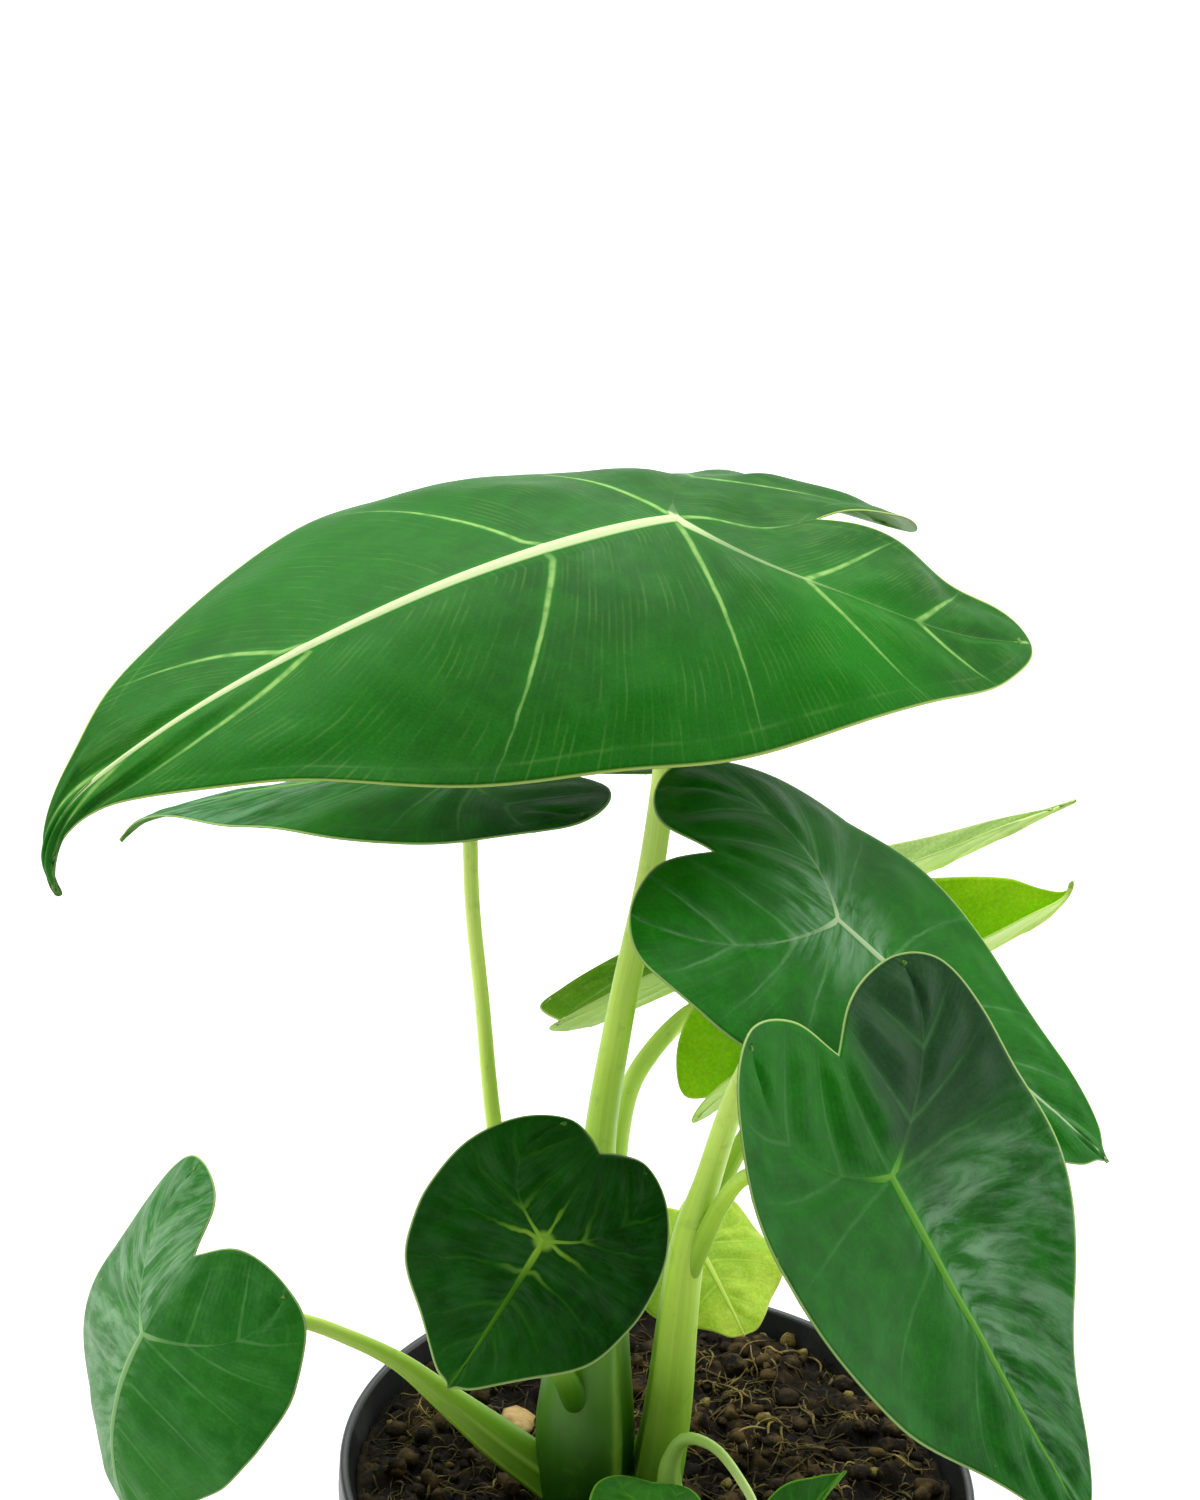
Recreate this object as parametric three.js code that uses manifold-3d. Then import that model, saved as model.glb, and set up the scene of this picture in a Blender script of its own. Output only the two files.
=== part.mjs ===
// A potted Frydek alocasia: arrow-shaped leaves on slim stalks in a 130 mm nursery pot.
// Millimetres and degrees, +Z up. The origin is the middle of the pot's flat base,
// and the side that the plant is seen from faces -Y.

import * as THREE from "three";
import { mergeVertices } from "three/addons/utils/BufferGeometryUtils.js";
import Module from "manifold-3d";

const wasm = await Module();
wasm.setup();

// Driving dimensions of the pot and the soil
const POT_HEIGHT = 115;
const RIM_RADIUS = 65;
const BASE_RADIUS = 46;
const WALL_TOP_RADIUS = 62.8;
const WALL = 1.6;
const FLOOR = 2.5;
const LIP_DEPTH = 7;
const LIP_WIDTH = 2;
const POT_SEGMENTS = 48;
const DRAIN_COUNT = 8;
const DRAIN_RADIUS = 4;
const DRAIN_CIRCLE = 33;
const SOIL_TOP = 110;
const SOIL_RELIEF = 1.6;
const SOIL_RINGS = 11;
const SOIL_SEGMENTS = 40;
const CRUMB_COUNT = 34;

// Clearance between neighbouring pieces
const GAP = 0.3;

// The main crown and the young offset beside it, each in a plain hole in the soil
const CROWN = { x: -10, y: -6.5, radius: 14, bottom: 76, top: 121 };
const OFFSET = { x: 4.8, y: -22.6, radius: 4.6, bottom: 92, top: 114 };

const FOOT_SIDES = 24;

// Blade thickness, and the height of the midrib under it at the stalk
const BLADE = 0.8;
const RIB = 1.6;

// How steeply the tip hooks down, as the share of the length where the hook starts
const HOOK_START = 0.82;
const HOOK_POWER = 1.5;

// Each leaf: where its stalk joins it, which way the midrib points, and its flat outline.
// Angles: heading from +X towards +Y, pitch above level, roll about the midrib, bend and
// hook along it, roof and curl down to each side, droop of the back lobes. A blunt of 1
// makes the lobes broad at the end. Each swell of the blade is given by its flat place,
// its height and its radius.
const LEAF_DEFAULTS = {
  roll: 0,
  bend: 0,
  hook: 0,
  sway: 0,
  twist: 0,
  roof: 5,
  curl: 10,
  leftWidth: 1,
  leftLobe: 1,
  leftSpread: 1,
  tail: 0.03,
  fullness: 1,
  blunt: 0,
  wave: 0.8,
  waves: 3,
  swells: [],
};

const LEAVES = {
  top: {
    joint: [-14.5, 12, 320],
    heading: 214.5,
    pitch: 0,
    roll: -8.5,
    bend: 37,
    hook: 90,
    sway: -2,
    roof: 6,
    curl: 36,
    length: 144,
    halfWidth: 59,
    lobe: 79,
    spread: 22,
    leftWidth: 0.87,
    leftSpread: 1.08,
    droop: 33,
    notch: 0.43,
    tail: 0.07,
    wave: 1.4,
    waves: 3.5,
    swells: [
      [100, 32, 5.5, 20], [60, 48, -2.5, 20], [115, -18, 2.3, 22], [85, -32, 2.6, 24],
      [45, -48, 2.6, 26], [12, -54, 2.1, 16], [-22, -44, -4.5, 15], [-72, 26, 2, 16],
      [-22, 0, -4.5, 14], [-64, 10, -4, 12],
    ],
    steps: 22,
    rings: 8,
    colour: 0x2f7a30,
  },
  second: {
    joint: [-49, 19, 260.5],
    heading: 162,
    pitch: -14,
    roll: 12,
    bend: 17,
    hook: 30,
    roof: 2,
    curl: 16,
    length: 82,
    halfWidth: 37.5,
    lobe: 39,
    spread: 16,
    leftWidth: 0.92,
    leftLobe: 0.9,
    leftSpread: 1.4,
    droop: 3,
    notch: 0.5,
    blunt: 1,
    fullness: 0.85,
    tail: 0.05,
    steps: 16,
    rings: 5,
    colour: 0x2d6d33,
  },
  right: {
    joint: [21, -25, 259.5],
    heading: -5,
    pitch: -38,
    roll: 8,
    hook: 4,
    twist: 16,
    roof: 4,
    curl: 10,
    length: 70,
    halfWidth: 40,
    lobe: 39,
    spread: 20,
    leftSpread: 0.9,
    droop: 41,
    notch: 0.67,
    blunt: 0.9,
    steps: 18,
    rings: 6,
    colour: 0x245c2c,
  },
  front: {
    joint: [32, -72, 236],
    heading: -25,
    pitch: -52.5,
    roll: 12,
    hook: 5,
    sway: 4,
    twist: 5,
    roof: 3,
    curl: -20,
    length: 73.5,
    halfWidth: 36.5,
    lobe: 38,
    spread: 20,
    leftLobe: 0.88,
    droop: -18,
    notch: 0.63,
    blunt: 0.5,
    steps: 18,
    rings: 6,
    colour: 0x245a33,
  },
  round: {
    joint: [-27, -40, 195],
    heading: 242,
    pitch: -27,
    roll: -20,
    sway: -4,
    twist: 3,
    roof: 3,
    curl: 10,
    length: 34.5,
    halfWidth: 24.5,
    lobe: 25,
    spread: 8,
    leftWidth: 0.92,
    droop: 4,
    notch: 0.86,
    fullness: 1.25,
    wave: 0.5,
    steps: 16,
    rings: 5,
    colour: 0x1b4a1c,
  },
  left: {
    joint: [-105, -10, 144.5],
    heading: 205,
    pitch: -63,
    roll: -14,
    bend: 60,
    sway: -3,
    twist: -5,
    roof: 14,
    curl: 14,
    length: 55,
    halfWidth: 33,
    lobe: 31,
    spread: 19,
    leftWidth: 1.03,
    leftLobe: 0.95,
    droop: 15,
    notch: 0.64,
    fullness: 1.15,
    blunt: 1,
    steps: 16,
    rings: 5,
    colour: 0x37713d,
  },
  young_folded: {
    joint: [6.5, 31, 217.5],
    heading: 16,
    pitch: 26,
    roll: -8,
    roof: -50,
    curl: 1,
    length: 75,
    halfWidth: 12,
    lobe: 40,
    spread: 8,
    droop: -4,
    notch: 0.8,
    tail: 0.05,
    wave: 0.4,
    steps: 14,
    rings: 4,
    colour: 0x9cc46a,
  },
  young_open: {
    joint: [20, 12, 208.5],
    heading: 14,
    pitch: 32,
    roll: 5,
    hook: -60,
    roof: -50,
    curl: 1,
    length: 64,
    halfWidth: 21,
    lobe: 23,
    spread: 10,
    leftSpread: 0.7,
    droop: 15,
    notch: 0.47,
    tail: 0.04,
    fullness: 1.8,
    wave: 0.6,
    steps: 14,
    rings: 4,
    colour: 0x6fa62a,
  },
  old: {
    joint: [4.5, 22, 155],
    heading: -56,
    pitch: -27,
    roll: -3,
    sway: -5,
    twist: 11,
    roof: 5,
    curl: 14,
    length: 21.5,
    halfWidth: 19,
    lobe: 13,
    spread: 7.5,
    droop: 8,
    notch: 0.7,
    tail: 0.01,
    fullness: 1.3,
    wave: 1.3,
    steps: 12,
    rings: 4,
    colour: 0xb2cf63,
  },
  offset_front: {
    joint: [-3, -34, 131.5],
    heading: 262,
    pitch: -5,
    roof: -5,
    curl: 1,
    length: 17,
    halfWidth: 11,
    lobe: 8,
    spread: 4,
    droop: 10,
    notch: 0.95,
    tail: 0.05,
    fullness: 1.1,
    wave: 0.2,
    steps: 9,
    rings: 3,
    colour: 0x3f8a2c,
  },
  offset_right: {
    joint: [25, -37, 130.6],
    heading: 15,
    pitch: 55,
    roof: -30,
    curl: 1,
    length: 17,
    halfWidth: 8,
    lobe: 7,
    spread: 3,
    droop: 0,
    notch: 0.6,
    tail: 0.05,
    fullness: 1.1,
    wave: 0.2,
    steps: 9,
    rings: 3,
    colour: 0x3f8a2c,
  },
};

// Stalks of the main crown: the points from the crown up to below the leaf, and the
// radius at each of them. The last point, at the leaf's joint, has the last radius.
const STALKS = {
  top: {
    route: [
      [-13.6, -6.5, 104], [-16, -6.5, 130], [-16.8, -4, 162], [-18, -1, 192],
      [-16, 2, 222], [-12.7, 6, 252], [-12, 9, 280],
    ],
    radii: [9, 10, 6.4, 3.2, 2.7, 2.5, 2.3, 2.1],
  },
  second: {
    route: [
      [-15, -7, 104], [-18.5, -6.5, 130], [-32, -7, 168], [-38.5, -3, 195],
      [-43, 6, 218], [-46.5, 12, 237],
    ],
    radii: [5, 3.4, 2, 1.6, 1.5, 1.5, 1.5],
  },
  right: {
    route: [
      [-3, -6, 104], [-0.5, -6, 118], [0.5, -6, 136], [0.5, -7, 157],
      [1, -9, 177], [3.3, -11, 192.5], [6.6, -15, 213.5], [13, -20, 238],
    ],
    radii: [6.2, 5.3, 4.7, 4, 3.5, 2.6, 2.3, 2, 1.9],
  },
  front: {
    route: [[0.5, -8, 164], [3, -11, 176.5], [6, -17, 191], [9.5, -25, 203], [19, -44, 218]],
    radii: [2.2, 2.1, 1.7, 1.5, 1.5, 1.5],
  },
  round: {
    route: [[-12, -8, 104], [-16, -11, 130], [-23.5, -25, 160], [-27, -34, 182]],
    radii: [5, 3.2, 1.8, 1.5, 1.5],
  },
  left: {
    route: [
      [-13, -6.5, 107], [-22, -6, 115], [-33, -5.5, 123], [-44.5, -5, 132],
      [-54, -5, 139.5], [-64, -6, 145], [-75, -7, 149], [-91, -9, 149],
    ],
    radii: [4.8, 4.8, 4.4, 2.9, 1.9, 1.6, 1.5, 1.5, 1.5],
  },
  young_folded: {
    route: [
      [-10, 0, 104], [-13, 2, 140], [-14.5, 4, 178], [-13, 9, 199],
      [-9, 14, 205.5], [-3, 20.5, 210], [3, 26.5, 211.5],
    ],
    radii: [5.5, 4, 2.3, 2, 1.9, 1.8, 1.6, 1.3],
  },
  young_open: {
    route: [[1, -8, 170], [5, -4, 184], [12, 4, 197]],
    radii: [2.4, 2.1, 1.8, 1.5],
  },
  old: {
    route: [[-6, 0, 104], [-1, 6, 124], [2, 13, 142]],
    radii: [4, 2.4, 1.5, 1.3],
  },
};

// Stalks of the offset
const OFFSET_STALKS = {
  offset_front: {
    route: [[5, -23.5, 108], [2, -26, 119]],
    radii: [2.6, 1.4, 1],
  },
  offset_right: {
    route: [
      [5, -22, 106], [2.5, -20, 121], [1.5, -19, 131], [4, -19.5, 137.5],
      [9.5, -22, 138], [16.5, -26.5, 132], [22, -33, 125.5],
    ],
    radii: [3.4, 2.9, 2, 1.2, 1, 0.9, 0.9, 0.9],
  },
};

const STALK_SIDES = 9;
const STALK_STEP = 9;
const STALK_OVERRUN = 0.4;
const SEAT_RISE = 0.8;

const group = new THREE.Group();

function radians(degrees) {
  return THREE.MathUtils.degToRad(degrees);
}

// Turns a closed geometry into a solid that can be joined and cut.
function toSolid(geometry) {
  const bare = geometry.clone();
  bare.deleteAttribute("normal");
  bare.deleteAttribute("uv");
  const merged = mergeVertices(bare, 1e-4);
  const mesh = new wasm.Mesh({
    numProp: 3,
    vertProperties: new Float32Array(merged.attributes.position.array),
    triVerts: new Uint32Array(merged.index.array),
  });
  return new wasm.Manifold(mesh);
}

function toGeometry(solid) {
  const mesh = solid.getMesh();
  const geometry = new THREE.BufferGeometry();
  geometry.setAttribute("position", new THREE.BufferAttribute(mesh.vertProperties, 3));
  geometry.setIndex(new THREE.BufferAttribute(mesh.triVerts, 1));
  geometry.computeVertexNormals();
  return geometry;
}

// The largest connected body, without loose scraps, and filled where joining sealed a hollow.
function outerBody(solid) {
  const pieces = solid.decompose();
  pieces.sort((a, b) => b.volume() - a.volume());
  return pieces[0];
}

function addPart(name, geometry, colour, roughness) {
  const material = new THREE.MeshStandardMaterial({ color: colour, roughness, metalness: 0 });
  const mesh = new THREE.Mesh(geometry, material);
  mesh.name = name;
  group.add(mesh);
}

function lathe(profile, segments) {
  const points = profile.map(([r, z]) => new THREE.Vector2(r, z));
  const geometry = new THREE.LatheGeometry(points, segments);
  geometry.rotateX(Math.PI / 2);
  return geometry;
}

// Upright cylinder from one height to another.
function post(x, y, bottom, top, radius, sides) {
  const geometry = new THREE.CylinderGeometry(radius, radius, top - bottom, sides);
  geometry.rotateX(Math.PI / 2);
  geometry.translate(x, y, (top + bottom) / 2);
  return toSolid(geometry);
}

// Radius of the pot's outer wall at a height.
function wallRadius(z) {
  const share = z / (POT_HEIGHT - LIP_DEPTH);
  return BASE_RADIUS + (WALL_TOP_RADIUS - BASE_RADIUS) * share;
}

function pot() {
  const lipFoot = POT_HEIGHT - LIP_DEPTH;
  const inside = (z) => wallRadius(z) - WALL;
  const profile = [
    [0, 0],
    [BASE_RADIUS - 1.5, 0],
    [wallRadius(1.5), 1.5],
    [wallRadius(lipFoot), lipFoot],
    [RIM_RADIUS - 0.4, lipFoot],
    [RIM_RADIUS, lipFoot + 0.8],
    [RIM_RADIUS, POT_HEIGHT - 0.8],
    [RIM_RADIUS - 0.6, POT_HEIGHT],
    [RIM_RADIUS - LIP_WIDTH + 0.5, POT_HEIGHT],
    [RIM_RADIUS - LIP_WIDTH, POT_HEIGHT - 0.7],
    [inside(lipFoot), lipFoot],
    [inside(FLOOR), FLOOR],
    [0, FLOOR],
  ];
  let solid = toSolid(lathe(profile, POT_SEGMENTS));
  for (let i = 0; i < DRAIN_COUNT; i += 1) {
    const angle = (i + 0.5) * 2 * Math.PI / DRAIN_COUNT;
    const x = DRAIN_CIRCLE * Math.cos(angle);
    const y = DRAIN_CIRCLE * Math.sin(angle);
    solid = solid.subtract(post(x, y, -1, FLOOR + 1, DRAIN_RADIUS, 12));
  }
  return toGeometry(solid);
}

// Repeatable stand-in for chance: a number from 0 to 1 for each index.
function scatter(index) {
  const value = Math.sin(index * 127.1 + 11.7) * 43758.5453;
  return value - Math.floor(value);
}

// Gentle lumps of the soil, fading out at the wall.
function soilHeight(x, y) {
  const lumps = Math.sin(x * 0.19 + 1.3) * Math.cos(y * 0.17 - 0.6) + 0.7 * Math.sin(x * 0.43 - y * 0.37);
  const radius = Math.hypot(x, y);
  const edge = Math.min(1, (wallRadius(SOIL_TOP) - radius) / 8);
  const crown = Math.hypot(x - CROWN.x, y - CROWN.y) - CROWN.radius;
  const inner = THREE.MathUtils.clamp((crown - 1) / 6, 0, 1);
  return SOIL_TOP + SOIL_RELIEF * lumps * edge * inner;
}

function soilBody() {
  const topRadius = wallRadius(SOIL_TOP) - WALL - GAP;
  const bottom = FLOOR + GAP;
  const positions = [0, 0, soilHeight(0, 0)];
  for (let ring = 1; ring <= SOIL_RINGS; ring += 1) {
    const radius = topRadius * ring / SOIL_RINGS;
    for (let i = 0; i < SOIL_SEGMENTS; i += 1) {
      const angle = i * 2 * Math.PI / SOIL_SEGMENTS;
      const x = radius * Math.cos(angle);
      const y = radius * Math.sin(angle);
      positions.push(x, y, ring === SOIL_RINGS ? SOIL_TOP : soilHeight(x, y));
    }
  }
  for (let i = 0; i < SOIL_SEGMENTS; i += 1) {
    const angle = i * 2 * Math.PI / SOIL_SEGMENTS;
    const radius = wallRadius(bottom) - WALL - GAP;
    positions.push(radius * Math.cos(angle), radius * Math.sin(angle), bottom);
  }
  positions.push(0, 0, bottom);
  const indices = [];
  const at = (ring, i) => 1 + (ring - 1) * SOIL_SEGMENTS + i % SOIL_SEGMENTS;
  const last = 1 + (SOIL_RINGS + 1) * SOIL_SEGMENTS;
  for (let i = 0; i < SOIL_SEGMENTS; i += 1) {
    indices.push(0, at(1, i), at(1, i + 1));
    for (let ring = 1; ring <= SOIL_RINGS; ring += 1) {
      indices.push(at(ring, i), at(ring + 1, i), at(ring + 1, i + 1));
      indices.push(at(ring, i), at(ring + 1, i + 1), at(ring, i + 1));
    }
    indices.push(last, at(SOIL_RINGS + 1, i + 1), at(SOIL_RINGS + 1, i));
  }
  return closedMesh(positions, indices);
}

function closedMesh(positions, indices) {
  const geometry = new THREE.BufferGeometry();
  geometry.setAttribute("position", new THREE.Float32BufferAttribute(positions, 3));
  geometry.setIndex(indices);
  geometry.computeVertexNormals();
  return geometry;
}

// Crumbs and grains half sunk in the surface.
function crumb(index) {
  const radius = 1.6 + 2.2 * scatter(index);
  const reach = wallRadius(SOIL_TOP) - WALL - GAP - radius - 2;
  const distance = 20 + (reach - 20) * Math.sqrt(scatter(index + 100));
  const angle = scatter(index + 200) * 2 * Math.PI;
  const x = distance * Math.cos(angle);
  const y = distance * Math.sin(angle);
  const clear = Math.min(
    Math.hypot(x - CROWN.x, y - CROWN.y) - CROWN.radius,
    Math.hypot(x - OFFSET.x, y - OFFSET.y) - OFFSET.radius,
  );
  if (clear < radius + 1.5) {
    return null;
  }
  const geometry = new THREE.IcosahedronGeometry(radius, 0);
  geometry.rotateX(scatter(index + 300) * Math.PI);
  geometry.rotateZ(scatter(index + 400) * Math.PI);
  geometry.scale(1, 1, 0.7);
  geometry.translate(x, y, soilHeight(x, y));
  return toSolid(geometry);
}

function soil() {
  let solid = toSolid(soilBody());
  for (let i = 0; i < CRUMB_COUNT; i += 1) {
    const grain = crumb(i);
    if (grain) {
      solid = solid.add(grain);
    }
  }
  for (const foot of [CROWN, OFFSET]) {
    const radius = (foot.radius + GAP) / Math.cos(Math.PI / FOOT_SIDES);
    const hole = post(foot.x, foot.y, foot.bottom - GAP, SOIL_TOP + 20, radius, FOOT_SIDES);
    solid = solid.subtract(hole);
  }
  return toGeometry(solid);
}

// Angles of the midrib at a distance along it, negative behind the stalk.
function midribAngles(leaf, s) {
  const share = s / leaf.length;
  if (s < 0) {
    const back = Math.min(2, -s / leaf.lobe);
    return { pitch: leaf.pitch + leaf.droop * back, sway: 0, roll: leaf.roll };
  }
  const hooked = THREE.MathUtils.clamp((share - HOOK_START) / (1 - HOOK_START), 0, 1);
  return {
    pitch: leaf.pitch - leaf.bend * share - leaf.hook * hooked ** HOOK_POWER,
    sway: leaf.sway * share * share,
    roll: leaf.roll + leaf.twist * share,
  };
}

// Frame of the blade at a distance along the midrib: forward, sideways and up.
function midribFrame(leaf, s) {
  const angles = midribAngles(leaf, s);
  const pitch = radians(angles.pitch);
  const yaw = radians(leaf.heading + angles.sway);
  const roll = radians(angles.roll);
  const flat = Math.cos(pitch);
  const forward = new THREE.Vector3(flat * Math.cos(yaw), flat * Math.sin(yaw), Math.sin(pitch));
  const level = new THREE.Vector3(-Math.sin(yaw), Math.cos(yaw), 0);
  const normal = forward.clone().cross(level);
  const side = level.clone().multiplyScalar(Math.cos(roll)).addScaledVector(normal, Math.sin(roll));
  const up = normal.clone().multiplyScalar(Math.cos(roll)).addScaledVector(level, -Math.sin(roll));
  return { forward, side, up };
}

// Point on the midrib, walked out from the stalk in short steps.
function midribPoint(leaf, s) {
  const steps = Math.max(1, Math.ceil(Math.abs(s) / 2));
  const step = s / steps;
  const point = new THREE.Vector3(...leaf.joint);
  for (let i = 0; i < steps; i += 1) {
    point.addScaledVector(midribFrame(leaf, (i + 0.5) * step).forward, step);
  }
  return point;
}

// Point of the blade's middle surface for flat coordinates x along the midrib, y across.
function bladePoint(leaf, x, y) {
  const frame = midribFrame(leaf, x);
  const start = radians(leaf.roof);
  const turn = radians(leaf.curl) / leaf.halfWidth;
  const end = start + turn * Math.abs(y);
  const out = (Math.sin(end) - Math.sin(start)) / turn;
  const down = (Math.cos(start) - Math.cos(end)) / turn;
  const point = midribPoint(leaf, x);
  point.addScaledVector(frame.side, Math.sign(y) * out);
  point.addScaledVector(frame.up, swellHeight(leaf, x, y) - down);
  return point;
}

function swellHeight(leaf, x, y) {
  let height = 0;
  for (const [centreX, centreY, rise, radius] of leaf.swells) {
    const distance = Math.hypot(x - centreX, y - centreY);
    height += rise * Math.exp(-((distance / radius) ** 2));
  }
  return height;
}

// Half of the flat outline, from the tip round the margin to the notch behind the stalk.
function halfOutline(leaf, left) {
  const width = leaf.halfWidth * (left ? leaf.leftWidth : 1);
  const lobe = leaf.lobe * (left ? leaf.leftLobe : 1);
  const spread = leaf.spread * (left ? leaf.leftSpread : 1);
  const notch = leaf.notch * leaf.lobe;
  const { length, fullness: full, blunt } = leaf;
  const corners = [
    [length, 0],
    [length * (1 - leaf.tail), 0.035 * width],
    [length * (1 - 2.2 * leaf.tail), 0.12 * width * full],
    [0.7 * length, 0.4 * width * full],
    [0.45 * length, 0.76 * width * Math.sqrt(full)],
    [0.2 * length, 0.97 * width],
    [0, width],
    [-0.45 * lobe, (0.93 + 0.05 * blunt) * width],
    [-(0.85 + 0.06 * blunt) * lobe, (0.45 + 0.12 * blunt) * width + (0.55 - 0.12 * blunt) * spread],
    [-lobe, spread],
    [-(0.38 - 0.16 * blunt) * notch - (0.62 + 0.16 * blunt) * lobe, (0.42 - 0.08 * blunt) * spread],
    [-notch, 0],
  ];
  const side = left ? 1 : -1;
  const points = corners.map(([x, y]) => new THREE.Vector3(x, side * y, 0));
  const curve = new THREE.CatmullRomCurve3(points, false, "centripetal");
  curve.arcLengthDivisions = 400;
  return curve.getSpacedPoints(leaf.steps);
}

// The whole margin as a loop that starts at the tip and runs over the left side.
function marginLoop(leaf) {
  const left = halfOutline(leaf, true);
  const right = halfOutline(leaf, false).reverse();
  const loop = left.map((point, i) => ({ point, share: i / leaf.steps }));
  right.slice(1, -1).forEach((point, i) => loop.push({ point, share: 1 - (i + 1) / leaf.steps }));
  return loop;
}

// Middle surface: the stalk's joint, then rings out to the margin.
function middleSurface(leaf) {
  const loop = marginLoop(leaf);
  const positions = [...leaf.joint];
  const ribs = [RIB];
  for (let ring = 1; ring <= leaf.rings; ring += 1) {
    const reach = ring / leaf.rings;
    loop.forEach(({ point, share }) => {
      const place = bladePoint(leaf, point.x * reach, point.y * reach);
      const edge = Math.min(1, Math.abs(point.y) / (0.3 * leaf.halfWidth));
      const wave = leaf.wave * edge * reach ** 3 * Math.sin(2 * Math.PI * leaf.waves * share);
      place.addScaledVector(midribFrame(leaf, point.x * reach).up, wave);
      positions.push(place.x, place.y, place.z);
      ribs.push(share === 0 ? RIB * (1 - reach) : 0);
    });
  }
  const normals = closedMesh(positions, ringFaces(loop.length, leaf.rings)).attributes.normal.array;
  return { positions, normals, ribs, count: loop.length };
}

// Triangles of one face: a fan round the joint, then rings.
function ringFaces(count, rings) {
  const indices = [];
  const at = (ring, i) => 1 + (ring - 1) * count + i % count;
  for (let i = 0; i < count; i += 1) {
    indices.push(0, at(1, i), at(1, i + 1));
    for (let ring = 1; ring < rings; ring += 1) {
      indices.push(at(ring, i), at(ring + 1, i), at(ring + 1, i + 1));
      indices.push(at(ring, i), at(ring + 1, i + 1), at(ring, i + 1));
    }
  }
  return indices;
}

// Closed sheet about the middle surface out to a ring, both faces split alike.
function sheet(leaf, rings, above, below) {
  const { positions, normals, ribs, count } = middleSurface(leaf);
  const total = 1 + rings * count;
  const inner = positions.slice(0, 3 * total);
  const top = inner.map((value, i) => value + normals[i] * above);
  const bottom = inner.map((value, i) => value - normals[i] * (below + ribs[Math.floor(i / 3)]));
  const face = ringFaces(count, rings);
  const indices = [...face];
  for (let i = 0; i < face.length; i += 3) {
    const [a, b, c] = face.slice(i, i + 3);
    indices.push(a + total, c + total, b + total);
  }
  const start = total - count;
  for (let i = 0; i < count; i += 1) {
    const here = start + i;
    const next = start + (i + 1) % count;
    indices.push(here, here + total, next + total);
    indices.push(here, next + total, next);
  }
  return closedMesh([...top, ...bottom], indices);
}

function blade(leaf) {
  return sheet(leaf, leaf.rings, BLADE / 2, BLADE / 2);
}

// Room that the stalk leaves free under its blade.
function seat(leaf) {
  return toSolid(sheet(leaf, leaf.rings, SEAT_RISE, BLADE / 2 + GAP));
}

// Closed tube of changing radius along a smooth curve.
function tube(route, radii) {
  const curve = new THREE.CatmullRomCurve3(route, false, "centripetal");
  const steps = Math.max(4, Math.ceil(curve.getLength() / STALK_STEP));
  let normal = new THREE.Vector3(1, 0, 0);
  const positions = [];
  for (let step = 0; step <= steps; step += 1) {
    const t = step / steps;
    const centre = curve.getPoint(t);
    const tangent = curve.getTangent(t);
    normal = normal.clone().addScaledVector(tangent, -normal.dot(tangent)).normalize();
    const binormal = tangent.clone().cross(normal);
    const place = t * (radii.length - 1);
    const low = Math.min(radii.length - 2, Math.floor(place));
    const radius = THREE.MathUtils.lerp(radii[low], radii[low + 1], place - low);
    for (let i = 0; i < STALK_SIDES; i += 1) {
      const angle = i * 2 * Math.PI / STALK_SIDES;
      const point = centre.clone();
      point.addScaledVector(normal, radius * Math.cos(angle));
      point.addScaledVector(binormal, radius * Math.sin(angle));
      positions.push(point.x, point.y, point.z);
    }
  }
  const first = positions.length / 3;
  positions.push(route[0].x, route[0].y, route[0].z);
  positions.push(route.at(-1).x, route.at(-1).y, route.at(-1).z);
  const indices = [];
  const at = (step, i) => step * STALK_SIDES + i % STALK_SIDES;
  for (let i = 0; i < STALK_SIDES; i += 1) {
    indices.push(first, at(0, i + 1), at(0, i));
    indices.push(first + 1, at(steps, i), at(steps, i + 1));
    for (let step = 0; step < steps; step += 1) {
      indices.push(at(step, i), at(step, i + 1), at(step + 1, i + 1));
      indices.push(at(step, i), at(step + 1, i + 1), at(step + 1, i));
    }
  }
  return toSolid(closedMesh(positions, indices));
}

// One stalk up to its leaf, cut to leave the blade's room.
function stalk(leaf, { route, radii }) {
  const points = route.map(([x, y, z]) => new THREE.Vector3(x, y, z));
  const joint = new THREE.Vector3(...leaf.joint);
  const ahead = joint.clone().sub(points.at(-1)).normalize();
  points.push(joint.addScaledVector(ahead, STALK_OVERRUN));
  return tube(points, radii).subtract(seat(leaf));
}

// Rounded foot that the stalks grow from, standing in its hole in the soil.
function foot({ x, y, radius, bottom, top }) {
  const profile = [
    [0, bottom],
    [radius * 0.6, bottom + radius * 0.15],
    [radius * 0.95, bottom + radius * 0.6],
    [radius, bottom + radius],
    [radius, SOIL_TOP],
    [radius * 0.85, (SOIL_TOP + top) / 2],
    [0, top],
  ];
  const geometry = lathe(profile, FOOT_SIDES);
  geometry.translate(x, y, 0);
  return toSolid(geometry);
}

function stalkCluster(base, stalks, leaves) {
  let solid = foot(base);
  for (const name of Object.keys(stalks)) {
    solid = solid.add(stalk(leaves[name], stalks[name]));
  }
  return toGeometry(outerBody(solid));
}

const leaves = {};
for (const [name, values] of Object.entries(LEAVES)) {
  leaves[name] = { ...LEAF_DEFAULTS, ...values };
}

addPart("pot", pot(), 0x23262a, 0.45);
addPart("soil", soil(), 0x2b2018, 0.95);
addPart("stalks", stalkCluster(CROWN, STALKS, leaves), 0x93bb52, 0.5);
addPart("offset_stalks", stalkCluster(OFFSET, OFFSET_STALKS, leaves), 0xa9c878, 0.5);
for (const [name, leaf] of Object.entries(leaves)) {
  addPart(`blade_${name}`, blade(leaf), leaf.colour, 0.45);
}

export default group;
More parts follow.
